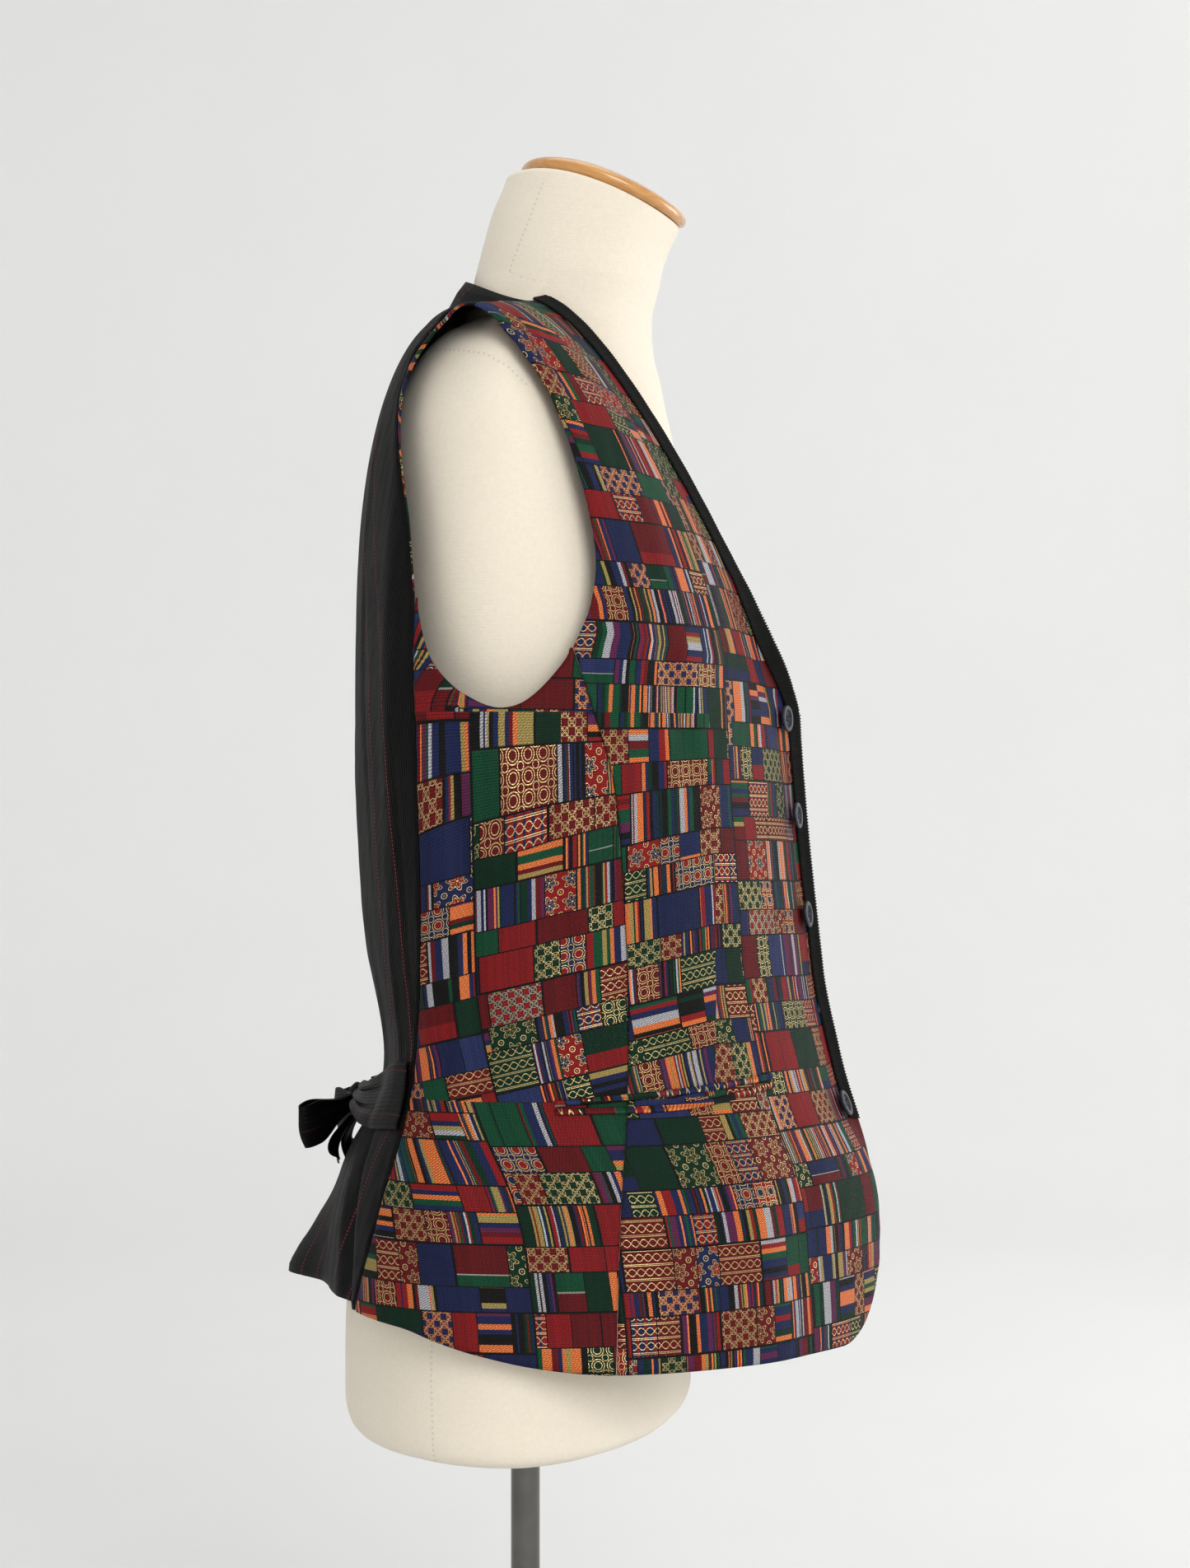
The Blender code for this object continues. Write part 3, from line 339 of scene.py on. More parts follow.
# Soft folds of the walls: angle, rise, span, height, depth outward and lean
FOLDS = (
    (83.0, 610.0, 5.0, 46.0, 2.2, 0.10),
    (93.0, 590.0, 4.5, 60.0, -2.4, 0.06),
    (103.0, 560.0, 6.0, 60.0, 2.2, -0.04),
    (52.0, 600.0, 5.0, 50.0, -1.4, -0.04),
    (96.0, 380.0, 7.0, 55.0, 3.0, 0.02),
    (84.0, 370.0, 6.0, 60.0, -2.6, 0.04),
    (40.0, 360.0, 7.0, 60.0, 2.6, 0.02),
    (27.0, 370.0, 6.0, 60.0, -2.2, 0.00),
    (140.0, 352.0, 8.0, 58.0, -8.0, 0.03),
    (150.0, 560.0, 6.0, 90.0, 2.4, 0.00),
    (164.0, 600.0, 5.0, 90.0, -2.0, 0.00),
    (120.0, 640.0, 5.0, 80.0, 2.0, -0.03),
)

# Fine creases, seen only here: the same columns as the soft folds
CREASES = (
    (20.0, 592.0, 9.0, 5.0, -0.9, 0.0),
    (22.0, 540.0, 11.0, 4.5, 0.8, 0.0),
    (18.0, 470.0, 10.0, 6.0, -0.9, 0.0),
    (33.0, 512.0, 12.0, 5.0, -0.8, 0.0),
    (62.0, 655.0, 1.6, 20.0, -0.9, 0.16),
    (68.0, 640.0, 1.8, 24.0, 0.9, 0.10),
    (74.0, 600.0, 1.6, 40.0, -0.9, 0.03),
    (88.0, 520.0, 1.8, 36.0, 0.9, 0.02),
    (99.0, 480.0, 1.6, 30.0, -1.0, -0.03),
    (108.0, 500.0, 1.8, 44.0, 0.9, 0.02),
    (116.0, 560.0, 1.6, 60.0, -1.0, 0.02),
    (126.0, 500.0, 1.9, 50.0, 1.1, -0.02),
    (137.0, 620.0, 1.8, 60.0, -1.1, 0.03),
    (145.0, 470.0, 2.0, 34.0, 1.2, 0.02),
    (157.0, 520.0, 2.2, 60.0, -1.2, 0.02),
    (171.0, 700.0, 2.4, 50.0, -1.0, 0.0),
    (139.0, 700.0, 2.0, 46.0, 1.0, -0.04),
    (128.0, 760.0, 2.2, 30.0, -1.0, 0.05),
    (60.0, 340.0, 2.2, 30.0, 0.9, 0.02),
    (72.0, 350.0, 2.0, 34.0, -0.8, 0.0),
    (108.0, 372.0, 2.4, 40.0, -1.3, 0.03),
    (118.0, 380.0, 2.2, 40.0, 1.2, 0.03),
    (163.0, 370.0, 2.4, 40.0, 1.4, -0.02),
    (152.0, 390.0, 2.2, 34.0, -1.4, 0.03),
    (139.5, 375.0, 2.2, 58.0, -4.0, 0.06),
    (133.0, 378.0, 3.0, 52.0, 1.8, 0.05),
    (147.0, 368.0, 3.2, 48.0, 2.2, 0.05),
    (90.0, 530.0, 2.6, 90.0, -2.4, 0.015),
    (96.0, 505.0, 3.2, 80.0, 1.7, 0.01),
    (73.0, 540.0, 2.4, 66.0, -1.8, 0.02),
    (81.5, 575.0, 3.0, 60.0, 1.6, 0.00),
    (45.0, 655.0, 2.6, 34.0, -1.5, 0.07),
    (38.0, 640.0, 3.0, 44.0, 1.2, 0.05),
    (52.0, 470.0, 14.0, 5.0, 1.1, 0.0),
    (98.0, 462.0, 10.0, 6.0, -1.5, 0.0),
    (104.0, 476.0, 9.0, 5.0, 1.3, 0.0),
    (56.0, 790.0, 2.6, 44.0, -1.2, 0.03),
    (44.0, 760.0, 3.0, 50.0, 1.0, 0.03),
)

# Grain of a back: distance of its outer red line from the centre back, by length up the cloth
GRAIN_COLUMNS = ("up", "across")
GRAIN = (
    (0.0, 128.0),
    (100.0, 138.0),
    (195.0, 146.0),
    (281.0, 152.0),
    (341.0, 153.0),
    (396.0, 147.0),
    (466.0, 127.0),
    (560.0, 104.0),
)
GRAIN_LINE = 152.0
GRAIN_START = -8.0

# Waist dart of a front: where it lies forward, by height
DART_COLUMNS = ("height", "forward")
DART = (
    (442.0, 117.0),
    (500.0, 117.0),
    (576.0, 115.5),
    (643.0, 112.0),
)

FORM_COLUMNS = ("height", "front", "back", "half_width", "neck_front", "neck_back", "neck_half")
FORM_SECTIONS = (
    (253.0, 78.0, 84.0, 152.0, 5.0, 5.0, 5.0),
    (255.5, 86.0, 92.0, 160.5, 5.0, 5.0, 5.0),
    (262.0, 91.0, 96.0, 165.5, 5.0, 5.0, 5.0),
    (273.0, 92.0, 97.5, 167.0, 5.0, 5.0, 5.0),
    (330.0, 92.0, 96.0, 167.0, 5.0, 5.0, 5.0),
    (374.0, 92.0, 88.0, 160.0, 5.0, 5.0, 5.0),
    (410.0, 91.0, 77.0, 146.0, 5.0, 5.0, 5.0),
    (443.0, 90.0, 65.0, 130.0, 5.0, 5.0, 5.0),
    (475.0, 91.0, 62.0, 121.0, 5.0, 5.0, 5.0),
    (515.0, 94.0, 66.0, 120.0, 5.0, 5.0, 5.0),
    (550.0, 103.0, 72.0, 126.0, 5.0, 5.0, 5.0),
    (590.0, 119.0, 77.0, 135.0, 5.0, 5.0, 5.0),
    (630.0, 133.0, 80.0, 144.0, 5.0, 5.0, 5.0),
    (655.0, 134.0, 81.0, 149.0, 5.0, 5.0, 5.0),
    (690.0, 120.0, 81.0, 153.0, 20.0, 10.0, 10.0),
    (730.0, 100.0, 80.0, 156.0, 80.0, 10.0, 30.0),
    (765.0, 84.0, 76.0, 157.0, 89.0, 10.0, 42.0),
    (795.0, 67.0, 70.0, 157.0, 84.0, 20.0, 48.0),
    (818.0, 49.0, 62.0, 153.0, 79.0, 30.0, 51.0),
    (833.0, 35.0, 53.0, 145.0, 76.0, 34.0, 52.0),
    (844.0, 24.0, 43.0, 127.0, 73.0, 34.5, 53.0),
    (855.5, 15.0, 24.0, 96.0, 71.5, 33.0, 53.0),
    (864.0, 9.0, 4.0, 64.0, 71.5, 32.0, 53.5),
    (870.0, 7.0, 8.0, 40.0, 71.8, 31.5, 53.3),
)
SHOULDER_FILL = 0.072
SHOULDER_FILL_LEVELS = (720.0, 790.0)
SHOULDER_FILL_TURNS = (95.0, 135.0, 175.0)
SHOULDER_RAISE = 7.0
FORM_RINGS = 220
FORM_SEGMENTS = 180
NECK_ROWS = 30
CURVED_BELOW = 840.0

NECK_COLUMNS = ("height", "forward", "half_depth", "half_width", "tilt")
NECK_RINGS = (
    (887.0, 23.5, 52.0, 53.0, 2.0),
    (905.0, 28.0, 51.0, 51.5, 7.0),
    (922.0, 33.5, 51.0, 50.5, 13.0),
    (937.0, 38.5, 51.0, 50.0, CAP_TILT),
)


def read(table, names, key, name):
    """Values of a column at keys in the table's first column, as a smooth curve."""
    rows = np.array(table)
    keys = rows[:, 0]
    values = rows[:, names.index(name)]
    key = np.clip(np.asarray(key, float), keys[0], keys[-1])
    low = np.clip(np.searchsorted(keys, key, side="right") - 1, 0, len(keys) - 2)
    before = np.maximum(np.arange(len(keys)) - 1, 0)
    after = np.minimum(np.arange(len(keys)) + 1, len(keys) - 1)
    slopes = (values[after] - values[before]) / (keys[after] - keys[before])
    span = keys[low + 1] - keys[low]
    t = (key - keys[low]) / span
    return (
        values[low] * (2 * t ** 3 - 3 * t ** 2 + 1)
        + slopes[low] * span * (t ** 3 - 2 * t ** 2 + t)
        + values[low + 1] * (3 * t ** 2 - 2 * t ** 3)
        + slopes[low + 1] * span * (t ** 3 - t ** 2)
    )


def smoothstep(start, end, value):
    """Soft step from 0 to 1."""
    t = np.clip((value - start) / (end - start), 0.0, 1.0)
    return t * t * (3.0 - 2.0 * t)


def blend(first, second, share):
    """Straight mix of two numbers or arrays."""
    return first + (second - first) * share


def signed_power(value, power):
    """Power of numbers that keeps their sign."""
    return np.sign(value) * np.abs(value) ** power


def body_section(height, angle):
    """Points of the gilet's sections: distances aside and forward."""
    front, back, half_width, widest, fullness, flare = (
        read(BODY_SECTIONS, BODY_COLUMNS, height, name) for name in BODY_COLUMNS[1:]
    )
    turn = np.radians(angle)
    aside_front = half_width * np.sin(turn)
    away = np.hypot(aside_front, PROW_ROUNDING) - PROW_ROUNDING
    prow = PROW_DEPTH * (1.0 - np.exp(-away / PROW_LENGTH))
    prow = prow * smoothstep(PROW_GONE_ANGLE, PROW_FULL_ANGLE, np.abs(angle))
    forward_front = widest + (front - widest) * np.cos(turn) - prow
    power = 2.0 / fullness
    aside_back = half_width * signed_power(np.sin(turn), power)
    forward_back = widest - (widest + back) * np.abs(np.cos(turn)) ** power
    forward_back = forward_back - flare * np.exp(-(aside_back / FLARE_WIDTH) ** 2)
    ahead = np.abs(angle) <= 90.0
    return np.where(ahead, aside_front, aside_back), np.where(ahead, forward_front, forward_back)


def arch_power(aside, angle):
    """Roundness of the arch from the armhole level over the shoulder."""
    front = FRONT_ARCH + FRONT_ARCH_SLOPE * np.abs(aside)
    front = front + BUST_ROUNDING * np.exp(-(aside / BUST_REACH) ** 2)
    return np.where(np.abs(angle) > 90.0, BACK_ARCH, front)


def edge_aside(height):
    """Distance aside of the front edge, above its rounded corner."""
    return np.where(height <= V_NECK[0][0], -LAP, read(V_NECK, V_COLUMNS, height, "aside"))


def edge_distance(aside, height):
    """Distance aside of points from the front edge."""
    return np.maximum(aside - edge_aside(height), -EDGE_MARGIN)


def edge_stand(height):
    """How far the front edge stands out at a height."""
    bottom, full, still_full, top = EDGE_LEVELS
    return EDGE_STAND * smoothstep(bottom, full, height) * smoothstep(top, still_full, height)


def edge_form(aside, angle, height):
    """Movement forward beside the front edge: a hollow, and the edge that stands out of it."""
    away = edge_distance(aside, height)
    hollow = EDGE_SINK * np.exp(-away / PROW_LENGTH)
    hollow = hollow * smoothstep(PROW_GONE_ANGLE, PROW_FULL_ANGLE, np.abs(angle))
    amount = edge_stand(height) * (np.exp(-away / EDGE_REACH) - hollow)
    return np.where(np.abs(angle) > 90.0, 0.0, amount)


def base_points(angle, rise):
    """Gilet points from angle and rise, before folds, as an array of points."""
    angle, rise = np.broadcast_arrays(np.asarray(angle, float), np.asarray(rise, float))
    aside, forward = body_section(np.minimum(rise, ARMHOLE_LEVEL), angle)
    top = SHOULDER_AT_CENTRE - SHOULDER_DROP * np.abs(aside)
    ridge = RIDGE_AT_CENTRE - RIDGE_SLOPE * np.abs(aside)
    share = np.clip((rise - ARMHOLE_LEVEL) / ARCH_SPAN, 0.0, 1.0)
    power = 2.0 / arch_power(aside, angle)
    turn = share * math.pi / 2.0
    over_forward = ridge + (forward - ridge) * np.abs(np.cos(turn)) ** power
    over_height = ARMHOLE_LEVEL + (top - ARMHOLE_LEVEL) * np.sin(turn) ** power
    above = rise > ARMHOLE_LEVEL
    height = np.where(above, over_height, rise)
    forward = np.where(above, over_forward, forward) + edge_form(aside, angle, height)
    return np.stack([aside, forward, height], axis=-1)


def ridges(table, angle, rise):
    """Outward movement of a table of folds."""
    total = np.zeros(np.broadcast(angle, rise).shape)
    for centre, middle, span, height, depth, lean in table:
        across = (angle - centre - lean * (rise - middle)) / span
        along = (rise - middle) / height
        total = total + depth * np.exp(-across ** 2 - along ** 2)
    return total


def unevenness(angle, rise):
    """Slight waves of worn cloth, under half a millimetre."""
    slow = np.sin(angle * 0.21 + rise * 0.031) * np.sin(rise * 0.047 - angle * 0.09)
    quick = np.sin(angle * 0.83 + rise * 0.11 + 1.3) * np.sin(rise * 0.163 + angle * 0.41)
    return 0.30 * slow + 0.12 * quick


def normals(angle, rise):
    """Outward directions of the gilet's surface."""
    step = 0.5
    low = np.maximum(rise - step, HEM_LEAST)
    high = np.minimum(rise + step, TOP_RISE - 0.01)
    low = np.where(high - low < step, high - step, low)
    across = base_points(angle + step, rise) - base_points(angle - step, rise)
    along = base_points(angle, high) - base_points(angle, low)
    normal = np.cross(along, across)
    normal = normal / np.maximum(np.linalg.norm(normal, axis=-1, keepdims=True), 1e-9)
    turn = np.radians(angle)
    outward = np.stack([np.sin(turn), np.cos(turn), np.full(np.shape(turn), 0.3)], axis=-1)
    return normal * np.where((normal * outward).sum(axis=-1, keepdims=True) < 0, -1.0, 1.0)


def cloth_points(angle, rise, offset, fine=1.0):
    """Points of the cloth, moved out by an offset, with folds and fine creases."""
    angle, rise = np.broadcast_arrays(np.asarray(angle, float), np.asarray(rise, float))
    lift = offset + ridges(FOLDS, angle, rise)
    lift = lift + fine * (ridges(CREASES, angle, rise) + unevenness(angle, rise))
    return base_points(angle, rise) + normals(angle, rise) * np.asarray(lift)[..., None]


def rise_at(height, angle):
    """Rise of the surface points at a height."""
    aside = body_section(np.full(np.shape(angle), ARMHOLE_LEVEL), angle)[0]
    top = SHOULDER_AT_CENTRE - SHOULDER_DROP * np.abs(aside)
    share = np.clip((height - ARMHOLE_LEVEL) / (top - ARMHOLE_LEVEL), 0.0, 1.0)
    turn = np.arcsin(share ** (arch_power(aside, angle) / 2.0))
    return np.where(height <= ARMHOLE_LEVEL, height, ARMHOLE_LEVEL + ARCH_SPAN * turn * 2.0 / math.pi)


def angle_of_aside(aside, height):
    """Angle on the front where the surface lies a distance aside."""
    half_width = read(BODY_SECTIONS, BODY_COLUMNS, np.minimum(height, ARMHOLE_LEVEL), "half_width")
    return np.degrees(np.arcsin(aside / half_width))


def angle_of_forward(forward, height, start, end):
    """Angles between two angles where the surface lies a distance forward."""
    forward, height = np.broadcast_arrays(np.asarray(forward, float), np.asarray(height, float))
    start = np.full(forward.shape, start)
    end = np.full(forward.shape, end)
    for _ in range(36):
        middle = (start + end) / 2.0
        ahead = base_points(middle, rise_at(height, middle))[..., 1] > forward
        start = np.where(ahead, middle, start)
        end = np.where(ahead, end, middle)
    return (start + end) / 2.0


def front_seam_angle(height):
    """Angle of the front seam, or of the armhole's front edge above it."""
    seam = read(FRONT_SEAM, FRONT_SEAM_COLUMNS, height, "forward")
    arm = read(ARM_FRONT, ARM_FRONT_COLUMNS, height, "forward")
    forward = np.where(height <= FRONT_SEAM[-1][0], seam, arm)
    return angle_of_forward(forward, height, 20.0, 90.0)


def back_seam_angle(height):
    """Angle of the back seam, or of the armhole's back edge above it."""
    seam = read(BACK_SEAM, BACK_SEAM_COLUMNS, height, "forward")
    arm = read(ARM_BACK, ARM_BACK_COLUMNS, height, "forward")
    forward = np.where(height <= BACK_SEAM[-1][0], seam, arm)
    return angle_of_forward(forward, height, 90.0, 160.0)


def lengths_along(points):
    """Distance of each point from the first, along the line."""
    steps = np.linalg.norm(np.diff(points, axis=0), axis=1)
    return np.concatenate([[0.0], np.cumsum(steps)])


def resample(pairs, count, crowding=0.0):
    """Pairs of angle and rise at shares of a line's real length, closer at its ends."""
    pairs = np.asarray(pairs)
    length = lengths_along(base_points(pairs[:, 0], pairs[:, 1]))
    even = np.linspace(0.0, 1.0, count + 1)
    target = length[-1] * blend(even, smoothstep(0.0, 1.0, even), crowding)
    return np.stack([np.interp(target, length, pairs[:, column]) for column in (0, 1)], axis=1)


def front_edge(rows, crowding=END_CROWDING):
    """Front edge of a front: corner, centre front and neckline."""
    turn = np.radians(np.linspace(0.0, 90.0, 25))
    aside = CORNER_END - (CORNER_END + LAP) * np.sin(turn)
    height = HEM_FRONT + CORNER_HEIGHT * (1.0 - np.cos(turn))
    corner = np.stack([angle_of_aside(aside, height), height], axis=1)
    straight = np.arange(HEM_FRONT + CORNER_HEIGHT + 5.0, V_NECK[0][0], 5.0)
    middle = np.stack([angle_of_aside(np.full(straight.shape, -LAP), straight), straight], axis=1)
    last = V_NECK[-1][0]
    neck = np.arange(V_NECK[0][0], last, 3.0)
    angle = angle_of_aside(read(V_NECK, V_COLUMNS, neck, "aside"), neck)
    upper = np.stack([angle, rise_at(neck, angle)], axis=1)
    end = [[angle_of_aside(V_NECK[-1][1], last), FRONT_TOP]]
    return resample(np.concatenate([corner, middle, upper, end]), rows, crowding)


def arm_edge(upper_rows, seam_angle, table, shoulder_angle, top):
    """Outer edge of a front or back: seam, then armhole up to the shoulder."""
    hem = read(HEM, HEM_COLUMNS, seam_angle(np.array(HEM_FRONT + 12.0)), "height")
    height = np.linspace(float(hem), table[0][0], 80)
    angle = seam_angle(height)
    seam = resample(np.stack([angle, rise_at(height, angle)], axis=1), SEAM_ROWS)
    height = np.linspace(table[0][0], table[-1][0], 80)
    angle = seam_angle(height)
    armhole = np.stack([angle, rise_at(height, angle)], axis=1)
    end = np.array([shoulder_angle, top])
    armhole = np.concatenate([armhole, [blend(armhole[-1], end, 0.6)], [end]])
    return np.concatenate([seam[:-1], resample(armhole, upper_rows)])


def front_arm_edge():
    """Seam and armhole edge of a front."""
    return arm_edge(FRONT_UPPER_ROWS, front_seam_angle, ARM_FRONT, SHOULDER_ARM_FRONT, FRONT_TOP)


def back_arm_edge():
    """Seam and armhole edge of a back."""
    return arm_edge(BACK_UPPER_ROWS, back_seam_angle, ARM_BACK, SHOULDER_ARM_BACK, TOP_RISE)


def nudge(angle, rise, distance):
    """Angles moved along the cloth by a distance in millimetres."""
    speed = np.linalg.norm(base_points(angle + 0.5, rise) - base_points(angle - 0.5, rise), axis=-1)
    return angle + distance / np.maximum(speed, 0.5)


def column_shares(count):
    """Shares across a panel, with close columns at both edges for the seams."""
    close = np.array([0.0, 0.004, 0.009, 0.016, 0.026])
    inner = np.linspace(0.04, 0.96, count - 2 * len(close) + 1)
    return np.concatenate([close, inner, 1.0 - close[::-1]])


def front_grid():
    """Angles and rises of a front."""
    rows = SEAM_ROWS + FRONT_UPPER_ROWS
    inner = front_edge(rows)
    outer = front_arm_edge()
    end = nudge(outer[:, 0], outer[:, 1], -GAP / 2.0)
    shares = column_shares(FRONT_COLUMNS)
    angle = blend(inner[:, :1], end[:, None], shares)
    rise = blend(inner[:, 1:], outer[:, 1:], shares)
    return angle, rise


def side_grid():
    """Angles and rises of a side panel."""
    front = front_arm_edge()[:SEAM_ROWS + 1]
    back = back_arm_edge()[:SEAM_ROWS + 1]
    first = nudge(front[:, 0], front[:, 1], GAP / 2.0)[:, None]
    last = nudge(back[:, 0], back[:, 1], -GAP / 2.0)[:, None]
    across = column_shares(SIDE_COLUMNS)
    forward = blend(ARM_UNDER[-1][0], ARM_UNDER[0][0], across)
    top_height = read(ARM_UNDER, ARM_UNDER_COLUMNS, forward, "height")
    top_angle = angle_of_forward(forward, top_height, 40.0, 150.0)
    share = np.linspace(0.0, 1.0, SEAM_ROWS + 1)[:, None]
    even = blend(first, last, across)
    hem = read(HEM, HEM_COLUMNS, blend(front[0, 0], back[0, 0], across), "height")
    height = blend(hem, top_height, share)
    angle = blend(even, top_angle, smoothstep(0.4, 1.0, share))
    rise = rise_at(height, angle)
    edge_weight = np.clip((0.03 - np.minimum(across, 1.0 - across)) / 0.03, 0.0, 1.0)
    edge_rise = np.where(across < 0.5, front[:, 1:], back[:, 1:])
    return blend(angle, even, edge_weight), blend(rise, edge_rise, edge_weight)


def neck_rise(angle):
    """Rise at which the back meets the neckline."""
    aside = body_section(np.full(np.shape(angle), ARMHOLE_LEVEL), angle)[0]
    inside = np.clip(NECK_RADIUS ** 2 - aside ** 2, 0.0, None)
    target = NECK_CENTRE - np.sqrt(inside)
    low = np.full(np.shape(angle), ARMHOLE_LEVEL)
    high = np.full(np.shape(angle), TOP_RISE)
    for _ in range(36):
        middle = (low + high) / 2.0
        short = base_points(angle, middle)[..., 1] < target
        low = np.where(short, middle, low)
        high = np.where(short, high, middle)
    return np.where(np.abs(aside) >= NECK_RADIUS, TOP_RISE, low)


def facing_width(height):
    """Width of the facing that shows, none below the armhole."""
    return np.where(height < FACING[0][0], 0.0, read(FACING, FACING_COLUMNS, height, "width"))


def back_grid():
    """Angles and rises of a back, from the armhole side to the centre back."""
    outer = back_arm_edge()
    share = ((outer[:, 1] - outer[0, 1]) / (TOP_RISE - outer[0, 1]))[:, None]
    width = facing_width(base_points(outer[:, 0], outer[:, 1])[:, 2])
    end = nudge(outer[:, 0], outer[:, 1], GAP / 2.0 + width)[:, None]
    across = column_shares(BACK_COLUMNS)
    even = blend(180.0, end, across)
    round_neck = NECK_RADIUS * np.sin(np.radians(90.0 * np.minimum(across / NECK_SHARE, 1.0)))
    neck_angle = 180.0 - angle_of_aside(round_neck, np.full(across.shape, ARMHOLE_LEVEL))
    corner = neck_angle[-1]
    beyond = np.clip((across - NECK_SHARE) / (1.0 - NECK_SHARE), 0.0, 1.0)
    above = np.where(across <= NECK_SHARE, neck_angle, blend(corner, end, beyond))
    angle = blend(even, above, smoothstep(0.45, 0.95, share))
    hem = read(HEM, HEM_COLUMNS, angle, "height")
    top = np.where(across < NECK_SHARE, neck_rise(angle), TOP_RISE)
    rise = blend(hem, top, share)
    edge_weight = np.clip((across - 0.97) / 0.03, 0.0, 1.0)
    rise = blend(rise, outer[:, 1:], edge_weight)
    angle[:, 0] = nudge(angle[:, 0], rise[:, 0], -GAP / 2.0)
    return angle[:, ::-1], rise[:, ::-1]


def collar_shift(angle, rise):
    """Movement of the back neck, which stands up against the neck."""
    aside = np.abs(body_section(np.full(np.shape(angle), ARMHOLE_LEVEL), angle)[0])
    edge = neck_rise(angle)
    share = smoothstep(edge - COLLAR_BEND, edge, rise)
    amount = share * share * np.clip(1.0 - (aside / NECK_RADIUS) ** 2, 0.0, None)
    amount = np.where(angle < COLLAR_LEAST_ANGLE, 0.0, amount)
    return np.stack([0.0 * amount, COLLAR_LEAN * amount, COLLAR_HEIGHT * amount], axis=-1)


def neck_shift(angle, rise):
    """Movement outward of the V neck's edge, whose trim shows from the side."""
    spot = base_points(angle, rise)
    away = edge_distance(spot[..., 0], spot[..., 2])
    level = smoothstep(*EDGE_LEVELS[2:], spot[..., 2])
    amount = NECK_STAND * level * np.exp(-away / NECK_STAND_REACH)
    return np.stack([0.0 * amount, amount, 0.35 * amount], axis=-1)


def tuck_shift(angle, rise):
    """Backward movement of the left front, which lies flat under the right front."""
    spot = base_points(angle, rise)
    aside = spot[..., 0]
    height = spot[..., 2]
    stand = edge_stand(height)
    away = edge_distance(aside, height)
    flat = stand * np.exp(-away / EDGE_REACH) * smoothstep(*UNDERLAP_LEVELS, height)
    rest = UNDERLAP_RISE * stand / EDGE_STAND * np.exp(-(aside / UNDERLAP_REACH) ** 2)
    near = (TUCK_DEPTH * smoothstep(*TUCK_ASIDE, aside) - rest) * smoothstep(*TUCK_LEVELS, height)
    sunk = LEFT_NECK_SINK * smoothstep(*EDGE_LEVELS[2:], height) * smoothstep(*LEFT_NECK_LEVELS, height)
    near = near + sunk * np.exp(-away / LEFT_NECK_REACH)
    return np.stack([0.0 * flat, -flat - near, 0.0 * flat], axis=-1)


def flat_lengths(angle, rise):
    """Flat cloth coordinates: length round the body and length up it."""
    first_angle, _, angle_step = FLAT_ANGLES
    angles = np.arange(*FLAT_ANGLES)
    rises = np.arange(HEM_LEAST, TOP_RISE + 0.1, FLAT_RISE_STEP)
    spots = base_points(angles[:, None], rises[None, :])
    across = np.linalg.norm(np.diff(spots, axis=0), axis=-1)
    across = np.concatenate([np.zeros((1, len(rises))), np.cumsum(across, axis=0)])
    front = round(-first_angle / angle_step)
    across = across - across[front:front + 1]
    along = np.linalg.norm(np.diff(spots, axis=1), axis=-1)
    along = np.concatenate([np.zeros((len(angles), 1)), np.cumsum(along, axis=1)], axis=1)
    column = np.clip((angle - first_angle) / angle_step, 0, len(angles) - 1.001)
    row = np.clip((rise - HEM_LEAST) / FLAT_RISE_STEP, 0, len(rises) - 1.001)
    i = column.astype(int)
    j = row.astype(int)
    s = column - i
    t = row - j
    result = []
    for field in (across, along):
        lower = field[i, j] * (1 - s) + field[i + 1, j] * s
        upper = field[i, j + 1] * (1 - s) + field[i + 1, j + 1] * s
        result.append(lower * (1 - t) + upper * t)
    return result


def mirrored(points, side):
    """World positions of points, side 1 for the wearer's right and -1 for the left."""
    return points * np.array([-side, -1.0, 1.0]) * MM


def sheet_mesh(name, points, side=1, maps=None, closed=False):
    """Smooth open sheet through a grid of points, with named UV maps."""
    rows, columns = points.shape[:2]
    where = np.arange(rows * columns).reshape(rows, columns)
    if closed:
        where = np.concatenate([where, where[:, :1]], axis=1)
    corners = np.stack([where[:-1, :-1], where[:-1, 1:], where[1:, 1:], where[1:, :-1]], axis=-1)
    corners = corners.reshape(-1, 4)
    if side > 0:
        corners = corners[:, ::-1]
    mesh = bpy.data.meshes.new(name)
    mesh.from_pydata(mirrored(points, side).reshape(-1, 3).tolist(), [], corners.tolist())
    for title, (first, second) in (maps or {}).items():
        layer = mesh.uv_layers.new(name=title)
        flat = np.stack([np.ravel(first), np.ravel(second)], axis=1)
        layer.data.foreach_set("uv", flat[corners.ravel()].ravel().astype(np.float32))
    mesh.shade_smooth()
    mesh.update()
    return mesh


def link(name, data):
    """New object of a mesh, curve, light or camera, in the scene."""
    made = bpy.data.objects.new(name, data)
    bpy.context.scene.collection.objects.link(made)
    return made


def add_piece(name, mesh, look, nodes):
    """Object of a mesh that rides on the one body and stands for CAD nodes."""
    made = link(name, mesh)
    mesh.materials.append(MATERIALS[look])
    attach(made, "root")
    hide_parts(*nodes)
    return made


def add_wall(name, points, side, maps, look, node, thickness, offset=-1.0):
    """Piece of a sheet through a grid of points, with a wall grown inward from it."""
    made = add_piece(name, sheet_mesh(name, points, side, maps), look, [node])
    wall = made.modifiers.new("wall", "SOLIDIFY")
    wall.thickness = thickness * MM
    wall.offset = offset
    wall.use_even_offset = False
    return made


def spread(first, second):
    """Cloth coordinates in metres from a row and a column of millimetres."""
    return {"cloth": tuple(part * MM for part in np.broadcast_arrays(first, second))}


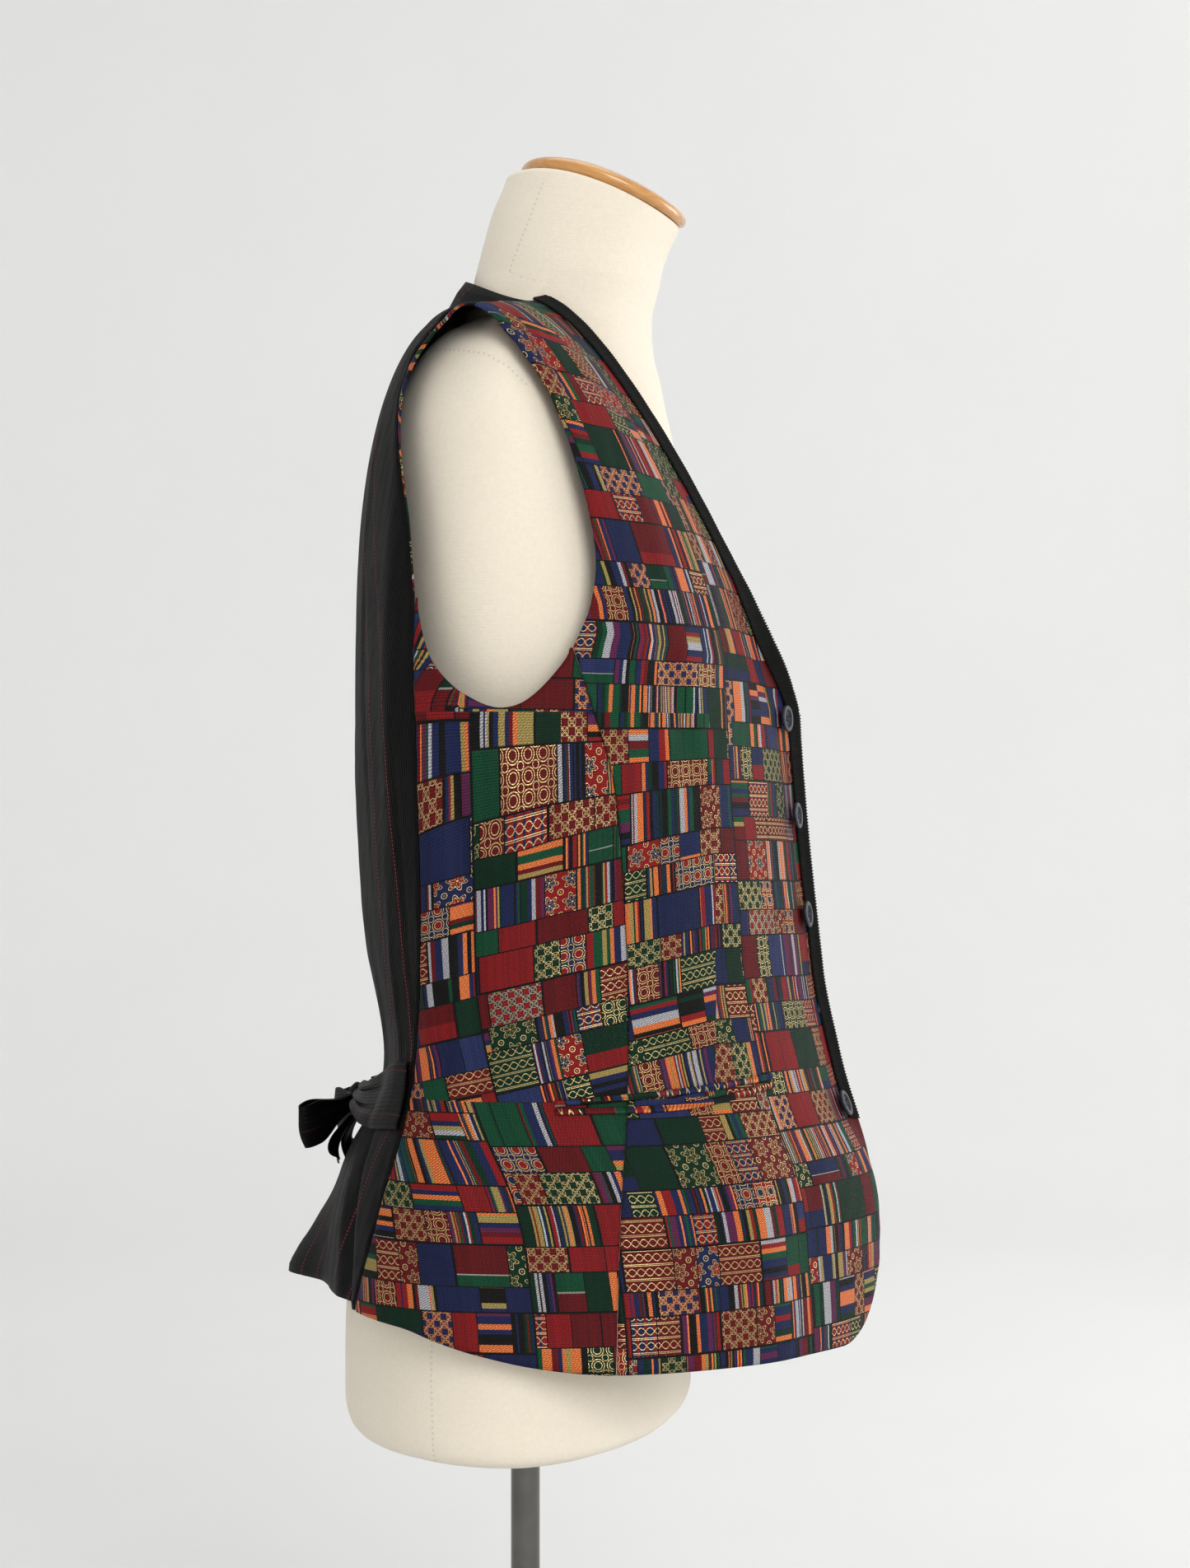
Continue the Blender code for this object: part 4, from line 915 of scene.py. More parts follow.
def edge_roll(points, seams):
    """Inward movement near a panel's edges, so that seams and hems roll in."""
    across = np.linalg.norm(np.diff(points, axis=1), axis=-1)
    from_first = np.concatenate([np.zeros((len(points), 1)), np.cumsum(across, axis=1)], axis=1)
    from_last = from_first[:, -1:] - from_first
    along = np.linalg.norm(np.diff(points, axis=0), axis=-1)
    from_hem = np.concatenate([np.zeros((1, points.shape[1])), np.cumsum(along, axis=0)])
    from_top = from_hem[-1:] - from_hem
    total = np.zeros(points.shape[:2])
    for name, distance, place in (
        ("first", from_first, from_hem),
        ("last", from_last, from_hem),
        ("hem", from_hem, from_first),
        ("top", from_top, from_first),
    ):
        depth = seams.get(name, 0.0)
        pucker = 0.35 * np.sin(place / 3.1 + 2.0 * np.sin(place / 17.0)) * (1.0 + np.sin(place / 41.0))
        total = total - depth * np.exp(-(distance / 1.3) ** 2)
        total = total + depth * pucker * np.exp(-distance / 4.0) * np.clip(distance / 1.5, 0.0, 1.0)
    return total


def cloth_panel(name, grid, side, look, node, seams, shift=None, flip=False, origin=(0.0, 0.0)):
    """Thin wall of a cloth panel over its solid, with its flat coordinates."""
    angle, rise = grid
    cut = base_points(angle, rise)
    points = cloth_points(angle, rise, CLOTH)
    points = points + normals(angle, rise) * edge_roll(points, seams)[..., None]
    if shift:
        points = points + shift(angle, rise)
    u, v = flat_lengths(angle, rise)
    if flip:
        u = flat_lengths(np.full_like(angle, 180.0), rise)[0] - u
    width = float(u.max() - u.min()) * MM
    length = float(v.max() - v.min()) * MM
    if flip:
        u = u * GRAIN_LINE / read(GRAIN, GRAIN_COLUMNS, v, "across") + GRAIN_START
    away = read(DART, DART_COLUMNS, cut[..., 2], "forward") - cut[..., 1]
    maps = {
        "cloth": ((u + origin[0]) * MM, (v + origin[1]) * MM),
        "dart": (away * MM, cut[..., 2] * MM),
    }
    made = add_wall(name, points, side, maps, look, node, SHEET_THICK)
    first = cut[:-1, 1:] - cut[:-1, :-1]
    second = cut[1:, :-1] - cut[:-1, :-1]
    area = np.linalg.norm(np.cross(first, second), axis=-1).sum() * MM * MM
    return made, (width, length), float(min(area, 1.0 * width * length))


class Field:
    """A number that varies over a surface, built up from Math nodes."""

    def __init__(self, tree, source):
        self.tree = tree
        self.source = source

    def math(self, operation, *others):
        """Math node of this field and others, which are fields or plain numbers."""
        node = self.tree.nodes.new("ShaderNodeMath")
        node.operation = operation
        for socket, value in zip(node.inputs, (self, *others)):
            if isinstance(value, Field):
                self.tree.links.new(value.source, socket)
            else:
                socket.default_value = value
        return Field(self.tree, node.outputs[0])

    def __add__(self, other):
        return self.math("ADD", other)

    def __sub__(self, other):
        return self.math("SUBTRACT", other)

    def __mul__(self, other):
        return self.math("MULTIPLY", other)

    def __truediv__(self, other):
        return self.math("DIVIDE", other)

    def floor(self):
        return self.math("FLOOR")

    def fract(self):
        return self.math("FRACT")

    def sine(self):
        return self.math("SINE")

    def size(self):
        return self.math("ABSOLUTE")

    def below(self, limit):
        return self.math("LESS_THAN", limit)

    def above(self, limit):
        return self.math("GREATER_THAN", limit)

    def either(self, other):
        return self.math("MAXIMUM", other)

    def least(self, other):
        return self.math("MINIMUM", other)

    def rest(self):
        return self.math("MULTIPLY_ADD", -1.0, 1.0)

    def within(self, low, high):
        return self.above(low) * self.below(high)

    def hypot(self, other):
        return (self * self + other * other).math("SQRT")


def new_material(name):
    """Material with its tree and its Principled shader."""
    made = bpy.data.materials.new(name)
    made.use_nodes = True
    return made, made.node_tree, made.node_tree.nodes["Principled BSDF"]


def map_fields(tree, title):
    """Both coordinates of a UV map."""
    source = tree.nodes.new("ShaderNodeUVMap")
    source.uv_map = title
    split = tree.nodes.new("ShaderNodeSeparateXYZ")
    tree.links.new(source.outputs[0], split.inputs[0])
    return Field(tree, split.outputs[0]), Field(tree, split.outputs[1])


def place_fields(tree):
    """Position on the object, in metres."""
    source = tree.nodes.new("ShaderNodeTexCoord")
    split = tree.nodes.new("ShaderNodeSeparateXYZ")
    tree.links.new(source.outputs["Object"], split.inputs[0])
    return [Field(tree, split.outputs[index]) for index in range(3)]


def joined(tree, *parts):
    """Vector of up to three fields or numbers."""
    node = tree.nodes.new("ShaderNodeCombineXYZ")
    for socket, value in zip(node.inputs, parts):
        if isinstance(value, Field):
            tree.links.new(value.source, socket)
        else:
            socket.default_value = value
    return node.outputs[0]


def chance(tree, *parts):
    """Three random numbers from 0 to 1 for each set of whole numbers."""
    node = tree.nodes.new("ShaderNodeTexWhiteNoise")
    tree.links.new(joined(tree, *parts), node.inputs["Vector"])
    split = tree.nodes.new("ShaderNodeSeparateColor")
    tree.links.new(node.outputs["Color"], split.inputs[0])
    return [Field(tree, split.outputs[index]) for index in range(3)]


def noise(tree, vector, scale, detail=2.0, roughness=0.5):
    """Soft noise from 0 to 1."""
    node = tree.nodes.new("ShaderNodeTexNoise")
    node.inputs["Scale"].default_value = scale
    node.inputs["Detail"].default_value = detail
    node.inputs["Roughness"].default_value = roughness
    if vector is None:
        vector = tree.nodes.new("ShaderNodeTexCoord").outputs["Object"]
    tree.links.new(vector, node.inputs["Vector"])
    return Field(tree, node.outputs[0])


def palette(tree, field, colours):
    """One of a row of colours, picked by a number from 0 to 1."""
    node = tree.nodes.new("ShaderNodeValToRGB")
    ramp = node.color_ramp
    ramp.interpolation = "CONSTANT"
    for index, colour in enumerate(colours):
        spot = ramp.elements[index] if index < 2 else ramp.elements.new(index / len(colours))
        spot.position = index / len(colours)
        spot.color = (*colour, 1.0)
    tree.links.new(field.source, node.inputs[0])
    return node.outputs[0]


def mixed(tree, share, first, second, mode="MIX"):
    """Mix of two colours, each a socket or a plain colour."""
    node = tree.nodes.new("ShaderNodeMix")
    node.data_type = "RGBA"
    node.blend_type = mode
    for socket, value in ((node.inputs[0], share), (node.inputs[6], first), (node.inputs[7], second)):
        if isinstance(value, Field):
            tree.links.new(value.source, socket)
        elif isinstance(value, tuple):
            socket.default_value = (*value, 1.0)
        elif isinstance(value, float):
            socket.default_value = value
        else:
            tree.links.new(value, socket)
    return node.outputs[2]


def cell(field, size):
    """Place in a repeat, from -0.5 to 0.5."""
    return (field / size).fract() - 0.5


def ribbed(field, size):
    """Ribs of a repeat, from 0 in their middle to 1 between them."""
    return cell(field, size).size() * 2.0


def wavering(field, pitch, amount):
    """Count of stripes whose widths are uneven."""
    return field + (field * pitch).sine() * amount


def surface(tree, shader, colour, roughness, numbers):
    """Colour and roughness of a shader, and its plain numbers by the names of their inputs."""
    tree.links.new(colour, shader.inputs["Base Color"])
    tree.links.new(roughness.source, shader.inputs["Roughness"])
    for title, value in numbers.items():
        shader.inputs[title].default_value = value


def bump(tree, shader, height, distance, strength=1.0):
    """Bump of a height from 0 to 1, over a distance in metres."""
    node = tree.nodes.new("ShaderNodeBump")
    node.inputs["Strength"].default_value = strength
    node.inputs["Distance"].default_value = distance
    tree.links.new(height.source, node.inputs["Height"])
    tree.links.new(node.outputs[0], shader.inputs["Normal"])


RED = (0.215, 0.010, 0.012)
DARK_RED = (0.110, 0.007, 0.009)
NAVY = (0.011, 0.017, 0.064)
BLUE = (0.020, 0.030, 0.104)
GREEN = (0.005, 0.058, 0.026)
DARK_GREEN = (0.003, 0.024, 0.012)
ORANGE = (0.760, 0.190, 0.052)
GOLD = (0.330, 0.250, 0.078)
PURPLE = (0.090, 0.016, 0.058)
SILVER = (0.420, 0.430, 0.470)
BLACK = (0.006, 0.006, 0.006)

GROUNDS = (RED, NAVY, GREEN, DARK_RED, NAVY, DARK_GREEN, RED, BLUE, GREEN, DARK_RED, NAVY, DARK_GREEN)
STRIPES = (
    RED, NAVY, GREEN, ORANGE, BLACK, SILVER, PURPLE,
    DARK_GREEN, GOLD, NAVY, DARK_RED, BLACK, NAVY, ORANGE,
)
STRIPE_SHINE = (0.0, 0.0, 0.0, 1.0, 0.0, 1.0, 0.0, 0.0, 0.6, 0.0, 0.0, 0.0, 0.0, 1.0)
ORNAMENT_GROUNDS = (DARK_RED, DARK_GREEN, RED, NAVY, DARK_GREEN, DARK_RED)

# Patchwork: sizes in metres, and limits of the chance number that picks a block's kind
ROW_HEIGHT = 0.0172
BLOCK_WIDTH = 0.0185
PATCH_WIDTH = 0.124
DART_TILT = 0.24
DART_INTAKE = 0.013
DART_LEVELS = (0.4425, 0.643)
DART_EASE = 0.07
STRIPED_KINDS = (0.24, 0.56)
BANDED_KINDS = (0.56, 0.64)
TWO_TONE_FROM = 0.70
THIN_LINE_TO = 0.85
FINE_THREAD = 0.00085
HAIR_THREAD = 0.00092
STRIPE_WIDTH = 0.0029
BAR_HEIGHT = 0.0030
TWILL_SIZE = 0.00115
NET_SIZE = 0.0074
RING_SIZE = 0.0078
DAISY_SIZE = 0.0118
WAVE_LENGTH = 0.0092
WAVE_HEIGHT = 0.0074
CORD_SIZE = 0.0011
WEFT_RIB = 0.00095
CROSS_RIB = 0.0017
# Metal thread colour, from its painted shade to its painted glint
METAL_SHADE_TO_GLINT = ((0.16, 0.11, 0.036), (0.98, 0.76, 0.36))
# Painted shade in the weave's grooves up to painted highlight on its ribs, also scaling the mottling's
# random tone
WEAVE_PAINTED_SHADE_AND_TONE = ((0.02, 0.02, 0.02), (1.50, 1.48, 1.44))
DUST = (0.070, 0.055, 0.058)


def band(field, middle, half):
    """1 where a number lies close to another."""
    return (field - middle).size().below(half)


def thread_motifs(u, v):
    """Metal thread lines of four traditional repeats, and the parts they enclose."""
    sum_way = cell(u + v, NET_SIZE)
    other_way = cell(u - v, NET_SIZE)
    net = sum_way.size().least(other_way.size())
    net_lines = band(net, 0.05, 0.020).either(sum_way.hypot(other_way).within(0.35, 0.39))
    p = cell(u, RING_SIZE)
    q = cell(v, RING_SIZE)
    ring = p.hypot(q)
    corner = (p.size() - 0.5).hypot(q.size() - 0.5)
    rings = band(ring, 0.41, 0.026).either(band(ring, 0.26, 0.024)).either(band(corner, 0.20, 0.024))
    p = cell(u, DAISY_SIZE)
    q = cell(v, DAISY_SIZE)
    away = p.hypot(q)
    petal = away - (q.math("ARCTAN2", p) * 6.0).sine() * 0.10
    corner = (p.size() - 0.5).hypot(q.size() - 0.5)
    daisies = band(petal, 0.33, 0.019).either(band(petal, 0.20, 0.017)).either(away.below(0.045))
    daisies = daisies.either(band(corner, 0.12, 0.019)).either(corner.below(0.030))
    swing = (u * (2.0 * math.pi / WAVE_LENGTH)).sine() * 0.25
    wave = cell(v, WAVE_HEIGHT)
    waves = band(wave, swing, 0.034).either((wave + swing).size().below(0.034))
    waves = waves.either(band(wave.size(), 0.45, 0.022))
    return (
        (net_lines, net.above(0.2)),
        (rings, ring.below(0.32)),
        (daisies, petal.below(0.26)),
        (waves, swing.size().above(0.12)),
    )


def figured_blocks(tree, u, v, second, third):
    """Colour of the blocks with metal thread, the thread with painted glint and painted shade across its
    twist, and where that thread lies.
    """
    lines = None
    inner = None
    motifs = thread_motifs(u + second * 0.02, v)
    share = 1.0 / len(motifs)
    for index, (line, core) in enumerate(motifs):
        chosen = second.within(index * share, index * share + share)
        lines = line * chosen if lines is None else lines + line * chosen
        inner = core * chosen if inner is None else inner + core * chosen
    ground = palette(tree, third, ORNAMENT_GROUNDS)
    figure = mixed(tree, inner, ground, palette(tree, third, ORNAMENT_GROUNDS[::-1]))
    # Painted glint on the metal thread from fine noise, and painted shade across the twist of its cord
    painted_glint = noise(tree, joined(tree, u, v), 1900.0, 1.0)
    twist_shade = ((u - v) / CORD_SIZE).fract()
    metal = mixed(tree, painted_glint * 0.55 + twist_shade * 0.45, *METAL_SHADE_TO_GLINT)
    return mixed(tree, lines, figure, metal), lines


def striped_blocks(tree, u, v, place, chances):
    """Colour of the blocks with upright stripes or level bars, where they lie and how they shine."""
    patch, row, block = place
    kind, second, third = chances
    stripe_x = wavering(u / STRIPE_WIDTH + second * 5.0, 1.3, 0.42)
    stripe = chance(tree, stripe_x.floor(), block, row + patch * 3.0)[0]
    hair = chance(tree, (u / HAIR_THREAD + second * 3.0).floor(), block, row)
    fine_lines = hair[0].below(0.34) * third.above(0.35)
    bar = chance(tree, wavering(v / BAR_HEIGHT, 1.1, 0.3).floor(), block, row)[0]
    striped = kind.within(*STRIPED_KINDS)
    banded = kind.within(*BANDED_KINDS)
    which = stripe * striped + bar * banded
    twill = ((u * 0.5 + v) / TWILL_SIZE).fract().below(0.40)
    shine = Field(tree, palette(tree, which, tuple((value, value, value) for value in STRIPE_SHINE)))
    colour = palette(tree, which, STRIPES)
    colour = mixed(tree, fine_lines * striped, colour, palette(tree, hair[1], STRIPES[::-1]))
    colour = mixed(tree, shine * twill * 0.62, colour, (0.050, 0.014, 0.010))
    return colour, striped.either(banded), shine


def brocade_material():
    """Woven patchwork: blocks of ribbed colour with painted shade and highlight along the ribs, stripes,
    and metal thread repeats with painted glint.
    """
    made, tree, shader = new_material("brocade_patchwork")
    u, v = map_fields(tree, "cloth")
    away, level = map_fields(tree, "dart")
    behind = away.above(0.0) * level.within(*DART_LEVELS)
    ease = (level - DART_LEVELS[1]) / -DART_EASE
    v = v + away * behind * ease.least(1.0) * DART_TILT
    u = u + behind * DART_INTAKE
    patch = (u / PATCH_WIDTH).floor()
    start = chance(tree, patch, 3.1, 0.7)[0]
    y = wavering(v / ROW_HEIGHT + start * 7.0, 2.3, 0.17)
    row = y.floor()
    up = y.fract()
    row_chance = chance(tree, row, patch, 5.5)
    x = u / BLOCK_WIDTH + row_chance[0] * 13.0
    x = x + (x * 1.7 + row_chance[1] * 6.0).sine() * 0.30
    block = x.floor()
    over = x.fract()
    kind, second, third = chance(tree, block, row, patch * 7.0 + 0.5)
    ground = palette(tree, second, GROUNDS)
    accent = palette(tree, third, GROUNDS[::-1])
    colour = mixed(tree, third.above(TWO_TONE_FROM) * up.below(0.36), ground, accent)
    fine_thread = chance(tree, (u / FINE_THREAD + second * 9.0).floor(), block, row)[1]
    colour = mixed(tree, fine_thread * 0.30, colour, BLACK)
    thin_line = third.within(TWO_TONE_FROM, THIN_LINE_TO) * band(up, 0.385, 0.018)
    colour = mixed(tree, thin_line, colour, (0.26, 0.26, 0.24))
    stripes, lined, shine = striped_blocks(tree, u, v, (patch, row, block), (kind, second, third))
    colour = mixed(tree, lined, colour, stripes)
    figured = kind.above(BANDED_KINDS[1])
    figure, lines = figured_blocks(tree, u, v, second, third)
    colour = mixed(tree, figured, colour, figure)
    edge_x = (over - 0.5).size().above(0.480)
    edge_y = (up - 0.5).size().above(0.478)
    edge_patch = cell(u, PATCH_WIDTH).size().above(0.4955)
    edge = edge_x.either(edge_y).either(edge_patch)
    colour = mixed(tree, edge, colour, BLACK)
    rib = ribbed(v, WEFT_RIB)
    cross_rib = ribbed(u + v * 0.5, CROSS_RIB)
    mottled = noise(tree, joined(tree, u, v), 1100.0, 3.0)
    cloud = noise(tree, joined(tree, u, v), 60.0, 2.0)
    weave = rib * 0.45 + cross_rib * 0.20 + mottled * 0.60
    # Painted shade in the grooves and painted highlight on the tops of the ribs, multiplied into the
    # colour together with the mottling's random tone
    colour = mixed(tree, 1.0, colour, mixed(tree, weave, *WEAVE_PAINTED_SHADE_AND_TONE), "MULTIPLY")
    colour = mixed(tree, cloud * 0.05, colour, DUST)
    metal_share = lines * figured
    gloss = lined * shine * 0.22 + metal_share * 0.24
    surface(tree, shader, colour, gloss * -1.0 + 0.56, {"IOR": 1.26, "Specular IOR Level": 0.22})
    tree.links.new((metal_share * 0.5).source, shader.inputs["Metallic"])
    height = weave * 0.6 + metal_share * 0.6 + edge.rest() * 0.5
    bump(tree, shader, height, 0.00045, 0.9)
    return made


# Dotted red lines of the satin, in metres
LINE_PERIOD = 0.096
LINE_PLACES = (0.024, 0.048)
LINE_HALF = 0.00036
DOT_PERIOD = 0.0021
SATIN_BLACK = (0.0022, 0.0021, 0.0021)
# Colour of the satin's painted sheen
SATIN_PAINTED_SHEEN = (0.0090, 0.0086, 0.0085)


def satin_material(name, rib_size=0.0017, line_colour=(0.30, 0.026, 0.038)):
    """Black ribbed satin with dotted red lines and streaks of painted sheen."""
    made, tree, shader = new_material(name)
    u, v = map_fields(tree, "cloth")
    rib = ribbed(u, rib_size)
    sheen_streak = noise(tree, joined(tree, u * 900.0, v * 18.0), 1.0, 3.0)
    cloud = noise(tree, joined(tree, u, v), 22.0, 3.0)
    # Painted sheen: lighter streaks along the satin, strongest between the ribs
    colour = mixed(tree, rib * 0.6, SATIN_BLACK, mixed(tree, sheen_streak, SATIN_BLACK, SATIN_PAINTED_SHEEN))
    into = (u / LINE_PERIOD).fract() * LINE_PERIOD
    lines = band(into, LINE_PLACES[0], LINE_HALF).either(band(into, LINE_PLACES[1], LINE_HALF))
    dots = (v / DOT_PERIOD).fract().below(0.55)
    colour = mixed(tree, lines * dots, colour, line_colour)
    roughness = cloud * 0.16 + rib * 0.08 + 0.42
    surface(tree, shader, colour, roughness, {"IOR": 1.26, "Specular IOR Level": 0.24})
    bump(tree, shader, rib * 0.7 + sheen_streak * 0.3, 0.0004, 0.75)
    return made


def braid_material():
    """Matt black ribbed braid."""
    made, tree, shader = new_material("braid_black")
    u, v = map_fields(tree, "cloth")
    thread = ribbed(u, 0.0009)
    fuzz = noise(tree, joined(tree, u, v), 1500.0, 3.0)
    colour = mixed(tree, fuzz, (0.0034, 0.0033, 0.0033), (0.0140, 0.0136, 0.0132))
    surface(tree, shader, colour, fuzz * 0.2 + 0.68, {"IOR": 1.25, "Specular IOR Level": 0.20})
    bump(tree, shader, thread * 0.5 + fuzz * 0.5, 0.0003, 0.6)
    return made


def jersey_material():
    """Cream knit cover with faint seams, darker stitches and slight mottling."""
    made, tree, shader = new_material("jersey_cream")
    away, along = map_fields(tree, "seam")
    fine = noise(tree, None, 420.0, 4.0, 0.7)
    cloud = noise(tree, None, 14.0, 3.0)
    knit = ribbed(place_fields(tree)[2], 0.0011)
    colour = mixed(tree, fine, (0.79, 0.70, 0.56), (0.92, 0.84, 0.70))
    colour = mixed(tree, cloud * 0.3, colour, (0.83, 0.745, 0.60))
    on_seam = along.above(0.0)
    stitch = away.size().below(0.0006) * on_seam * (along / 0.0030).fract().below(0.45)
    colour = mixed(tree, stitch * 0.30, colour, (0.42, 0.35, 0.26))
    surface(tree, shader, colour, fine * 0.15 + 0.78, {"Sheen Weight": 0.25, "Sheen Roughness": 0.6})
    groove = away.size().below(0.0011) * on_seam
    bump(tree, shader, fine * 0.6 + knit * 0.15 - groove * 0.4, 0.0004, 0.7)
    return made


def wood_material():
    """Honey wood under gloss varnish."""
    made, tree, shader = new_material("wood_honey")
    x, y, z = place_fields(tree)
    wobble = noise(tree, None, 24.0, 3.0)
    grain = noise(tree, joined(tree, x * 12.0, y * 2.0 + wobble * 0.05, z * 30.0), 22.0, 4.0, 0.6)
    colour = mixed(tree, grain, (0.36, 0.135, 0.030), (0.82, 0.43, 0.125))
    surface(tree, shader, colour, grain * 0.12 + 0.30, {"Coat Weight": 0.8, "Coat Roughness": 0.10})
    bump(tree, shader, grain, 0.0001, 0.3)
    return made


def chrome_material():
    """Polished chrome, its colour darkened in noisy blotches as painted dark reflections."""
    made, tree, shader = new_material("chrome_polished")
    dark_reflection_blotch = noise(tree, None, 60.0, 4.0)
    # Painted dark reflections: the colour is darkened in blotches of noise, which also vary the roughness
    colour = mixed(tree, dark_reflection_blotch, (0.105, 0.10, 0.095), (0.17, 0.165, 0.155))
    surface(tree, shader, colour, dark_reflection_blotch * 0.08 + 0.07, {"Metallic": 1.0})
    return made


def button_material():
    """Dark glossy button, paler on its rim."""
    made, tree, shader = new_material("button_navy")
    radius = map_fields(tree, "disc")[0]
    swirl = noise(tree, None, 240.0, 3.0)
    colour = mixed(tree, swirl, (0.006, 0.008, 0.016), (0.030, 0.034, 0.050))
    rim = radius.within(0.0050, 0.0070)
    colour = mixed(tree, rim * (swirl * 0.5 + 0.1), colour, (0.085, 0.085, 0.09))
    surface(tree, shader, colour, swirl * 0.1 + 0.30, {"Specular IOR Level": 0.30})
    bump(tree, shader, swirl, 0.00008, 0.3)
    return made


def thread_material():
    """Navy sewing thread."""
    made, tree, shader = new_material("thread_navy")
    twist = noise(tree, None, 1800.0, 2.0)
    colour = mixed(tree, twist, (0.010, 0.012, 0.030), (0.040, 0.046, 0.095))
    surface(tree, shader, colour, twist * 0.2 + 0.55, {})
    return made


def floor_material():
    """Plain pale seamless backdrop."""
    made, tree, shader = new_material("backdrop_pale")
    soft = noise(tree, None, 3.0, 2.0)
    colour = mixed(tree, soft, (0.785, 0.785, 0.78), (0.81, 0.81, 0.805))
    tree.links.new(colour, shader.inputs["Base Color"])
    shader.inputs["Roughness"].default_value = 0.9
    return made


MATERIALS = {
    "brocade": brocade_material(),
    "satin": satin_material("satin_black"),
    "belt": satin_material("satin_belt", 0.0024, (0.075, 0.012, 0.015)),
    "braid": braid_material(),
    "jersey": jersey_material(),
    "wood": wood_material(),
    "chrome": chrome_material(),
    "button": button_material(),
    "thread": thread_material(),
    "backdrop": floor_material(),
}


def make_trim(name, node, side, start_rise, shift):
    """Ribbed braid along a front edge, with a serrated outer edge."""
    edge = front_edge(400, 0.0)
    edge = edge[edge[:, 1] >= start_rise]
    length = lengths_along(base_points(edge[:, 0], edge[:, 1]))
    count = int(length[-1] / TRIM_RIB * TRIM_STEPS)
    along = np.linspace(0.0, length[-1], count)
    angle = np.interp(along, length, edge[:, 0])
    rise = np.interp(along, length, edge[:, 1])
    wave = np.cos(2.0 * math.pi * along / TRIM_RIB)
    across = np.array(TRIM_ACROSS)
    columns = [angle]
    for step in np.diff(across):
        columns.append(nudge(columns[-1], rise, step * TRIM_WIDTH))
    outermost = nudge(angle, rise, -TRIM_OVERHANG * TRIM_WIDTH - 0.35 * wave)
    across = np.concatenate([[-TRIM_OVERHANG], across])
    distance = np.repeat(across[None, :] * TRIM_WIDTH, len(rise), axis=0)
    grid_rise = np.repeat(rise[:, None], len(across), axis=1)
    grid_angle = np.stack([outermost, *columns], axis=1)
    lift = CLOTH + OVERLAY_GAP + TRIM_THICK + np.array(TRIM_ROUNDING) + TRIM_RIB_DEPTH * wave[:, None]
    points = cloth_points(grid_angle, grid_rise, lift)
    if shift:
        points = points + shift(grid_angle, grid_rise)
    maps = {"cloth": (distance * MM, np.repeat(along[:, None], len(across), axis=1) * MM)}
    return add_wall(name, points, side, maps, "braid", node, TRIM_WALL)


def make_facing(name, node, side):
    """Brocade facing that shows beside the back edge of the armhole."""
    outer = back_arm_edge()
    width = facing_width(base_points(outer[:, 0], outer[:, 1])[:, 2])
    kept = (width > 0.0) & (outer[:, 1] < TOP_RISE - 5.0)
    outer = outer[kept]
    width = width[kept][:, None]
    count = len(FACING_ROUNDING)
    shares = np.linspace(0.0, 1.0, count)
    rise = np.repeat(outer[:, 1:], count, axis=1)
    near = np.repeat(outer[:, :1], count, axis=1)
    angle = nudge(near, rise, GAP / 2.0 + (width - GAP) * shares)
    points = cloth_points(angle, rise, FACING_LIFT + np.array(FACING_ROUNDING))
    u, v = flat_lengths(angle, rise)
    blank = np.full_like(u, -1.0)
    maps = {"cloth": ((u + 400.0) * MM, v * MM), "dart": (blank, blank)}
    return add_wall(name, points, side, maps, "brocade", node, FACING_WALL)


def make_welt(name, node, side, sign):
    """One folded welt of a jetted pocket."""
    first = angle_of_forward(POCKET_FRONT, POCKET_LEVEL, 5.0, 90.0)
    last = angle_of_forward(POCKET_BACK, POCKET_LEVEL, 30.0, 110.0)
    share = np.linspace(0.0, 1.0, 140)
    gape = POCKET_GAPE * np.sin(math.pi * share) ** 1.5 if sign < 0 else 0.0 * share
    slant = blend(POCKET_RISE_FRONT, -POCKET_DROP_BACK, share)
    middle = POCKET_LEVEL + slant + sign * (WELT_WIDTH / 2.0 + 0.4) - gape
    edges = np.array(WELT_EDGES)
    rounded = np.array(WELT_ROUNDING)
    rise = middle[None, :] + edges[:, None] * WELT_WIDTH
    angle = np.repeat(blend(first, last, share)[None, :], len(edges), axis=0)
    ends = 1.0 * np.exp(-(np.minimum(share, 1.0 - share) / 0.012) ** 2)
    lift = CLOTH + OVERLAY_GAP + WELT_THICK + rounded[:, None] - ends[None, :]
    points = cloth_points(angle, rise, lift)
    u, v = flat_lengths(angle, rise)
    blank = np.full_like(u, -1.0)
    maps = {"cloth": ((u + 170.0) * MM, (v * 0.3 + 60.0 + sign * 21.0) * MM), "dart": (blank, blank)}
    return add_wall(name, points, side, maps, "brocade", node, WELT_WALL)


def turned_mesh(name, profile, steps):
    """Closed surface of revolution from a profile of radius and height in millimetres."""
    turn = np.linspace(0.0, 2.0 * math.pi, steps, endpoint=False)
    radius = np.array([pair[0] for pair in profile])
    height = np.array([pair[1] for pair in profile])
    points = np.stack([
        radius[:, None] * np.cos(turn),
        radius[:, None] * np.sin(turn),
        np.repeat(height[:, None], steps, axis=1),
    ], axis=-1)
    rings = np.repeat(radius[:, None], steps, axis=1) * MM
    angles = np.repeat(turn[None, :], len(radius), axis=0)
    mesh = sheet_mesh(name, points, 1, {"disc": (rings, angles)}, closed=True)
    shape = bmesh.new()
    shape.from_mesh(mesh)
    bmesh.ops.remove_doubles(shape, verts=shape.verts, dist=1e-7)
    bmesh.ops.recalc_face_normals(shape, faces=shape.faces)
    shape.to_mesh(mesh)
    shape.free()
    mesh.shade_smooth()
    return mesh


